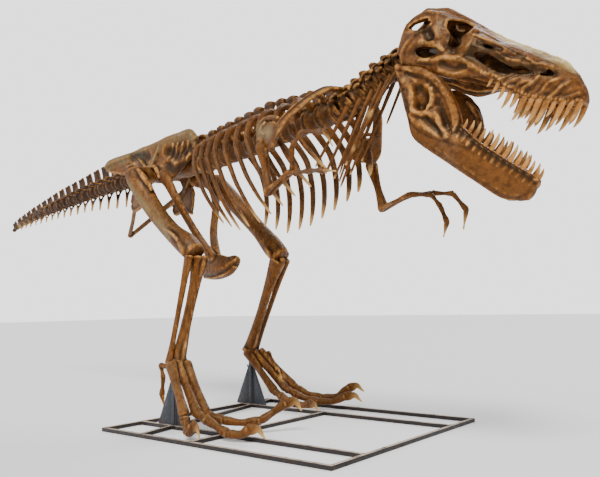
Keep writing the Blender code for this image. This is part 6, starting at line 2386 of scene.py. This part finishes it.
@dataclass
class LowerJaw:
    """The lower jaw, in its own frame: x runs from the joint to the chin."""

    top: Stops = (
        (0.00, 0.000), (0.05, 0.005), (0.16, 0.088), (0.28, 0.118), (0.40, 0.108), (0.52, 0.062),
        (0.60, 0.000), (0.75, 0.004), (0.90, 0.034), (1.05, 0.070), (1.17, 0.102), (1.215, 0.080))
    low: Stops = ((0.00, -0.060), (0.07, -0.090), (0.30, -0.210), (0.43, -0.280), (0.52, -0.272),
                  (0.78, -0.218), (1.10, -0.150), (1.17, -0.100), (1.215, 0.000))
    out: Stops = ((0.00, 0.330), (0.10, 0.335), (0.40, 0.300), (0.60, 0.250), (0.80, 0.195),
                  (1.00, 0.130), (1.10, 0.095), (1.17, 0.060), (1.215, 0.026))
    thick: Stops = ((0.00, 0.075), (0.10, 0.070), (0.40, 0.055), (0.60, 0.075), (1.00, 0.080),
                    (1.17, 0.062), (1.215, 0.040))
    sections: tuple = (0.00, 0.035, 0.07, 0.115, 0.16, 0.22, 0.28, 0.34, 0.40, 0.45, 0.49, 0.53,
                       0.57, 0.61, 0.68, 0.75, 0.83, 0.90, 0.97, 1.05, 1.11, 1.15, 1.18, 1.205)
    hollows: tuple = (
        (((0.24, -0.015), (0.30, -0.035), (0.33, -0.085)), 0.062, 0.034),
        (((0.40, 0.010), (0.47, -0.010), (0.54, -0.050)), 0.050, 0.022),
        (((0.42, -0.120), (0.50, -0.125), (0.58, -0.110)), 0.036, 0.014),
        (((0.16, -0.110), (0.24, -0.150), (0.30, -0.180)), 0.030, 0.010),
        (((0.10, -0.010), (0.17, 0.020), (0.25, 0.045)), 0.026, 0.010),
    )
    rises: tuple = ((((0.12, -0.055), (0.20, -0.060), (0.26, -0.100), (0.34, -0.135),
                      (0.42, -0.080), (0.47, -0.060), (0.55, -0.085), (0.60, -0.100)), 0.040,
                     0.018), (((0.31, 0.030), (0.37, -0.015), (0.38, -0.060)), 0.032, 0.018),
                    (((0.26, -0.175), (0.38, -0.180), (0.50, -0.155), (0.62, -0.095),
                      (0.72, -0.040)), 0.044, 0.012))
    # Painted shade on the jaw's outer face: its hollows drawn darker as if in shadow.
    shadows: tuple = (
        (((0.245, -0.020), (0.300, -0.045), (0.325, -0.085)), 0.048),
        (((0.43, 0.000), (0.50, -0.028), (0.545, -0.060)), 0.036),
        (((0.43, -0.118), (0.56, -0.116)), 0.026),
        (((0.18, -0.125), (0.27, -0.170)), 0.022),
    )
    teeth: int = 13
    tooth_first: float = 0.610
    tooth_pitch: float = 0.0435

    def ring(self, x: float) -> list:
        """Return one section of the left side at x.

        Args:
            x: Place along the head.

        Returns:
            The points of the section.
        """
        top, low, out = read(self.top, x), read(self.low, x), read(self.out, x)
        inner = out - read(self.thick, x)
        mid = lerp(low, top, 0.45)
        dish = 0.020 * max(0.0, 1.0 - abs(x - 0.30) / 0.24)
        return [(x, y, z) for y, z in (
            (out - 0.014, top), (out - 0.004 - dish * 0.3, lerp(mid, top, 0.55)), (out - dish, mid),
            (out - 0.004, lerp(low, mid, 0.45)), (out - 0.012, low + 0.03), (out - 0.035, low),
            (inner, low + 0.02), (inner, mid), (inner + 0.008, top))]

    def ridge(self, line: Line, sizes: Sequence[float], proud: float) -> Shape:
        """Return a raised ridge along (x, z) points of the left outer face."""
        path = [(x, read(self.out, x) + proud, z) for x, z in line]
        return sweep(path, list(sizes), sides=14, steps=5, up=ACROSS)

    def relief(self, clay: Clay) -> None:
        """Add the thick rim, the hinge, the hollow behind the teeth and the tooth sockets.

        Args:
            clay: Bone to work on.
        """
        clay.pair(self.ridge([(0.03, -0.020), (0.10, 0.026), (0.17, 0.072), (0.28, 0.096),
                              (0.40, 0.084), (0.50, 0.048), (0.575, -0.005), (0.60, -0.05)],
                             (0.022, 0.026, 0.028, 0.030, 0.030, 0.028, 0.026, 0.020), -0.020))
        clay.pair(ball((0.015, 0.300, -0.025), (0.040, 0.045, 0.030)))
        clay.pair(sweep([(0.30, 0.262, 0.095), (0.42, 0.245, 0.085), (0.52, 0.215, 0.050),
                         (0.60, 0.190, 0.0)], [0.020, 0.022, 0.022, 0.018]))
        # Painted shade along the listed shadow lines, then along the tooth row where the teeth
        # shade the jaw.
        for line, reach in self.shadows:
            clay.shade([(x, read(self.out, x) - 0.006, z) for x, z in line], reach)
        clay.shade([(x, read(self.out, x) - 0.010, read(self.top, x) - 0.012)
                    for x in (0.62, 0.75, 0.90, 1.03, 1.14)], 0.030)
        for strokes, sign in ((self.hollows, 1.0), (self.rises, -1.0)):
            for line, reach, depth in strokes:
                clay.press([(x, read(self.out, x), z) for x, z in line], reach, sign * depth)
        for index in range(self.teeth + 1):
            x = self.tooth_first + self.tooth_pitch * index - 0.006
            y = read(self.out, x)
            z = read(self.top, x)
            clay.pair(ball((x, y - read(self.thick, x) * 0.40, z - 0.010), (0.017, 0.024, 0.016)))
            clay.press([(x, y, z - 0.008), (x + 0.010, y, z - 0.055)], 0.018, -0.006)
            clay.press([(x + 0.021, y, z - 0.010), (x + 0.030, y, z - 0.050)], 0.014, 0.006)

    def tooth_rows(self) -> list[tuple]:
        """Return the place, turn and size of each lower tooth.

        Returns:
            One row for each tooth.
        """
        rows = []
        for way in BOTH_WAYS:
            for index in range(self.teeth):
                x = self.tooth_first + self.tooth_pitch * (index + 0.5)
                size = read(((0, 0.070), (2, 0.105), (5, 0.120), (9, 0.110), (12, 0.075)), index)
                size *= 1.0 + 0.08 * math.sin(2.2 * index + 2.0 * way)
                y = read(self.out, x) - read(self.thick, x) * 0.45
                rows.append(((x, way * y, read(self.top, x) + 0.002),
                             (-way * 0.04, -0.16, way * 0.10), size))
        return rows

    def build(self, shop: Workshop) -> None:
        """Build the jaw and its teeth.

        Args:
            shop: Workshop that makes the pieces.
        """
        clay = Clay()
        clay.pair(loft([self.ring(x) for x in self.sections], around=3, along=2))
        clay.add(sweep([(1.06, 0.0, -0.02), (1.14, 0.0, 0.0), (1.195, 0.0, 0.02)],
                       [(0.075, 0.115), (0.060, 0.100), (0.038, 0.070)], sides=18))
        self.relief(clay)
        shop.bone("lower_jaw_cast", clay.place(JAW), ("lower_jaw",), HEAD,
                  Texture(voxel=0.0062, passes=4, lump_depth=0.007, lump_size=10.0, grain_size=40.0,
                          grain_depth=0.002, hollow_rounds=22))
        set_teeth(shop, "lower_teeth", JAW, self.tooth_rows(), 1.0)


# ---------------------------------------------------------------- stand

def bevelled(shapes: Sequence[Shape], width: float) -> bpy.types.Mesh:
    """Return shapes as one mesh with rounded edges.

    Args:
        shapes: Shapes to join.
        width: Width of the rounding, in metres.

    Returns:
        The mesh.
    """
    item = new_object("bevelled", raw_mesh(shapes))
    bevel = item.modifiers.new("edges", "BEVEL")
    bevel.width = width
    bevel.segments = 2
    bevel.limit_method = "ANGLE"
    return Grower.settle(item)


def bar(low: Spot, high: Spot) -> Shape:
    """Return a square bar between two corners, along its longest side.

    Args:
        low: Its lower corner.
        high: Its upper corner.

    Returns:
        The shape.
    """
    low, high = np.array(low, float), np.array(high, float)
    axis = int(np.argmax(high - low))
    b, c = [k for k in range(3) if k != axis]
    rings = np.tile(low, (2, 4, 1))
    for ring, place in zip(rings, (low[axis], high[axis])):
        ring[:, axis] = place
        ring[1:3, b] = high[b]
        ring[2:, c] = high[c]
    return plug(rings)


@dataclass
class Stand:
    """The floor frame of square tube and the two gusseted posts."""

    rails: tuple = ("stand_rail_near", "stand_rail_far", "stand_rail_front", "stand_rail_rear",
                    "stand_rail_right", "stand_rail_left", "stand_cross_1", "stand_cross_2")
    slants: tuple = ("stand_slant_1", "stand_slant_2", "stand_slant_3")
    slope: float = -0.214
    tube: float = 0.035
    tube_edge: float = 0.0028
    post_edge: float = 0.003
    plate_edge: float = 0.0015
    plate_toe: tuple = (0.012, 0.015)
    weld: float = 0.0035
    weld_step: float = 0.0055
    bolt_shares: tuple = (("near", (0.16, 0.50, 0.84)), ("far", (0.16, 0.50, 0.84)),
                          ("front", (0.30, 0.70)), ("rear", (0.30, 0.70)))
    hook_top: float = 0.47

    def rail(self, shop: Workshop, node: str) -> None:
        """Build one tube with rounded edges, square to the frame or slanted across it.

        Args:
            shop: Workshop that makes the pieces.
            node: Name of the solid.
        """
        low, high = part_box(node)
        shape = bar(low, high)
        if node in self.slants:
            lean = abs(self.slope) * (high.y - low.y)
            rings = []
            for y, far in ((low.y, lean), (high.y, 0.0)):
                x0, x1 = low.x + far, high.x - (lean - far)
                rings.append([(x0, y, low.z), (x1, y, low.z), (x1, y, high.z), (x0, y, high.z)])
            shape = plug(rings)
        name = node.replace("stand_", "stand_tube_")
        shop.keep(name, bevelled([shape], self.tube_edge), (node,), RAIL_PAINT)

    def brace(self, shop: Workshop, side: Side) -> None:
        """Build one post and its two gussets.

        Args:
            shop: Workshop that makes the pieces.
            side: Side of the animal.
        """
        word = side.word
        node = "stand_post_" + word
        low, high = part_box(node)
        shop.keep("stand_upright_" + word, bevelled([bar(low, high)], self.post_edge), (node,),
                  BRACE_PAINT)
        for end, way in (("front", 1.0), ("rear", -1.0)):
            node = "stand_gusset_%s_%s" % (word, end)
            g_low, g_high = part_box(node)
            near, far = (g_low.x, g_high.x) if way > 0.0 else (g_high.x, g_low.x)
            plate = plug([[
                (near, y, g_low.z), (far, y, g_low.z), (far, y, g_low.z + self.plate_toe[0]),
                (near + way * self.plate_toe[1], y, g_high.z),
                (near, y, g_high.z)] for y in (g_low.y, g_high.y)])
            mesh = bevelled([plate], self.plate_edge)
            shop.keep("stand_plate_%s_%s" % (word, end), mesh, (node,), BRACE_PAINT)

    def seams(self, shop: Workshop) -> None:
        """Build the weld beads where tubes, posts and gussets meet.

        Args:
            shop: Workshop that makes the pieces.
        """
        rows = []

        def line(start: Spot, stop: Spot) -> None:
            """Lay beads along a line.

            Args:
                start: First end of the seam.
                stop: Other end of the seam.
            """
            start, stop = Vector(start), Vector(stop)
            count = max(2, int((stop - start).length / self.weld_step))
            heading = math.atan2(stop.y - start.y, stop.x - start.x)
            tip = math.asin(max(-1.0, min(1.0, (stop - start).normalized().z)))
            for k in range(count + 1):
                size = self.weld * (1.0 + 0.18 * math.sin(5.1 * k))
                rows.append((lerp(start, stop, k / count) - shop.shift, (0.0, -tip, heading),
                             (size * 1.1, size * 1.25, size)))

        for node in self.rails[2:] + self.slants:
            low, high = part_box(node)
            long_x = high.x - low.x > high.y - low.y
            for end in (0, 1):
                if long_x:
                    x = (low.x, high.x)[end]
                    line((x, low.y + 0.003, high.z), (x, high.y - 0.003, high.z))
                    for y in (low.y, high.y):
                        line((x, y, low.z + 0.004), (x, y, high.z - 0.003))
                else:
                    y = (low.y, high.y)[end]
                    mid = (low.x + high.x) / 2.0
                    if node in self.slants:
                        mid += self.slope * (y - (low.y + high.y) / 2.0)
                    half = self.tube / 2.0
                    line((mid - half + 0.003, y, high.z), (mid + half - 0.003, y, high.z))
                    for x in (mid - half, mid + half):
                        line((x, y, low.z + 0.004), (x, y, high.z - 0.003))
        for side in Side:
            low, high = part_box("stand_post_" + side.word)
            for x in (low.x, high.x):
                line((x, low.y + 0.002, low.z), (x, high.y - 0.002, low.z))
            for y in (low.y, high.y):
                line((low.x + 0.002, y, low.z), (high.x - 0.002, y, low.z))
            for end in ("front", "rear"):
                g_low, g_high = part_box("stand_gusset_%s_%s" % (side.word, end))
                near = g_low.x if end == "front" else g_high.x
                for y in (g_low.y, g_high.y):
                    line((near, y, g_low.z + 0.01), (near, y, g_high.z - 0.01))
                    line((g_low.x + 0.004, y, g_low.z), (g_high.x - 0.004, y, g_low.z))
        model = bpy.data.meshes.new("bead_small")
        bm = bmesh.new()
        bmesh.ops.create_icosphere(bm, subdivisions=1, radius=1.0)
        bm.to_mesh(model)
        bm.free()
        shop.set_on_points("stand_weld_beads", model, rows, RAIL_PAINT)

    def bolts(self, shop: Workshop) -> None:
        """Build the levelling bolts' heads on the rails and the hooks on the braces.

        Args:
            shop: Workshop that makes the pieces.
        """
        rows = []
        for word, places in self.bolt_shares:
            low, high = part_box("stand_rail_" + word)
            for share in places:
                spot = Vector((lerp(low.x, high.x, share if high.x - low.x > 1.0 else 0.5),
                               lerp(low.y, high.y, share if high.y - low.y > 1.0 else 0.5), high.z))
                rows.append((spot - shop.shift, (0.0, 0.0, share * 3.0), (1.0, 1.0, 1.0)))
        head = sweep([(0, 0, -0.001), (0, 0, 0.0035)], [0.0095, 0.0090], sides=6, steps=1, up=AHEAD,
                     ends=(0.1, 0.12))
        washer = sweep([(0, 0, -0.001), (0, 0, 0.0012)], [0.0135, 0.0130], sides=20, steps=1,
                       up=AHEAD, ends=(0.05, 0.05))
        shop.set_on_points("stand_bolts", raw_mesh([head, washer], "bolt"), rows, RAIL_PAINT)
        for side in Side:
            low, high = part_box("stand_post_" + side.word)
            x, y, z = low.x - 0.001, (low.y + high.y) / 2.0, min(high.z, self.hook_top) - 0.025
            hook = sweep([(x + 0.006, y, z), (x - 0.022, y, z), (x - 0.034, y, z + 0.006),
                          (x - 0.036, y, z + 0.020)], [0.0075, 0.0070, 0.0070, 0.0065], sides=12,
                         up=ACROSS)
            collar = sweep([(x + 0.004, y, z), (x - 0.006, y, z)], [0.0125, 0.0125], sides=6,
                           steps=1, ends=(0.1, 0.1))
            shop.keep("stand_hook_" + side.word, raw_mesh([hook, collar], "hook"), (), BRACE_PAINT)

    def build(self, shop: Workshop) -> None:
        """Build the whole mount.

        Args:
            shop: Workshop that makes the pieces.
        """
        for node in self.rails + self.slants:
            self.rail(shop, node)
        for side in Side:
            self.brace(shop, side)
        self.seams(shop)
        self.bolts(shop)


# ---------------------------------------------------------------- room and camera

@dataclass(frozen=True)
class Studio:
    """Pale floor, soft light and the camera, placed from the floor frame's centre."""

    eye: Spot = (4.054, -4.886, 1.110)
    yaw: float = -38.646
    pitch: float = 5.854
    roll: float = -0.973
    lens: float = 39.916
    floor_half: float = 60.0
    sky_light: float = 0.42
    sky_seen: float = 2.2
    lamps: tuple = (
        ("key", (-0.30, 0.62, -0.72), 22.0, 3.4),
        ("fill", (0.80, 0.45, -0.40), 50.0, 0.9),
        ("rim", (0.10, -0.75, -0.66), 35.0, 1.4),
    )
    white: tuple = (0.96, 0.96, 0.96, 1.0)
    sensor: float = 36.0
    far_clip: float = 300.0

    def sky(self) -> None:
        """Set a soft white surround, brighter to the eye than the light it casts."""
        world = bpy.data.worlds.new("studio")
        world.use_nodes = True
        tree = world.node_tree
        surround = tree.nodes["Background"]
        surround.inputs["Color"].default_value = (1.0, 1.0, 1.0, 1.0)
        rays = tree.nodes.new("ShaderNodeLightPath")
        strength = tree.nodes.new("ShaderNodeMapRange")
        strength.inputs["To Min"].default_value = self.sky_light
        strength.inputs["To Max"].default_value = self.sky_seen
        tree.links.new(rays.outputs["Is Camera Ray"], strength.inputs["Value"])
        tree.links.new(strength.outputs["Result"], surround.inputs["Strength"])
        bpy.context.scene.world = world

    def build(self, shop: Workshop) -> None:
        """Build the room, the lights and the camera.

        Args:
            shop: Workshop that makes the pieces.
        """
        mesh = bpy.data.meshes.new("floor")
        h = self.floor_half
        mesh.from_pydata([(-h, -h, 0), (h, -h, 0), (h, h, 0), (-h, h, 0)], [], [(0, 1, 2, 3)])
        kit = Nodes("pale_floor")
        kit.wire(kit.ramp(kit.noise(2.0, 3.0), 0.3, 0.7, 0.80, 0.86), kit.shader, "Roughness")
        kit.shader.inputs["Base Color"].default_value = self.white
        mesh.materials.append(kit.material)
        floor = new_object("floor", mesh)
        self.sky()
        for name, way, spread, power in self.lamps:
            light = bpy.data.lights.new(name, "SUN")
            light.energy = power
            light.angle = math.radians(spread)
            lamp = new_object(name, light)
            lamp.rotation_mode = "QUATERNION"
            lamp.rotation_quaternion = Vector(way).to_track_quat("-Z", "Y")
        yaw, pitch, roll = (math.radians(v) for v in (self.yaw, self.pitch, self.roll))
        forward = Vector(
            (math.sin(yaw) * math.cos(pitch), math.cos(yaw) * math.cos(pitch), math.sin(pitch)))
        level = Vector((math.cos(yaw), -math.sin(yaw), 0.0))
        above = level.cross(forward)
        right = level * math.cos(roll) + above * math.sin(roll)
        top = above * math.cos(roll) - level * math.sin(roll)
        camera = bpy.data.cameras.new("camera")
        camera.lens = self.lens
        camera.sensor_width = self.sensor
        camera.clip_end = self.far_clip
        view = new_object("camera", camera)
        view.matrix_world = Matrix.Translation(Vector(self.eye) + shop.shift) @ Matrix(
            (right, top, -forward)).transposed().to_4x4()
        bpy.context.scene.camera = view


# ---------------------------------------------------------------- assembly


def main() -> None:
    """Build the skeleton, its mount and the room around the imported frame."""
    logging.basicConfig(level=logging.INFO, format="%(message)s")
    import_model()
    shop = Workshop()
    Studio().build(shop)
    Stand().build(shop)
    Skull().build(shop)
    LowerJaw().build(shop)
    Neck().build(shop)
    RibCage().build(shop)
    Hips().build(shop)
    Tail().build(shop)
    for arm in ARMS:
        arm.build(shop)
    for leg in LEGS:
        leg.build(shop)
    LOG.info("whole model: %d triangles", shop.count)
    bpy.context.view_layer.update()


if __name__ == "__main__":
    main()
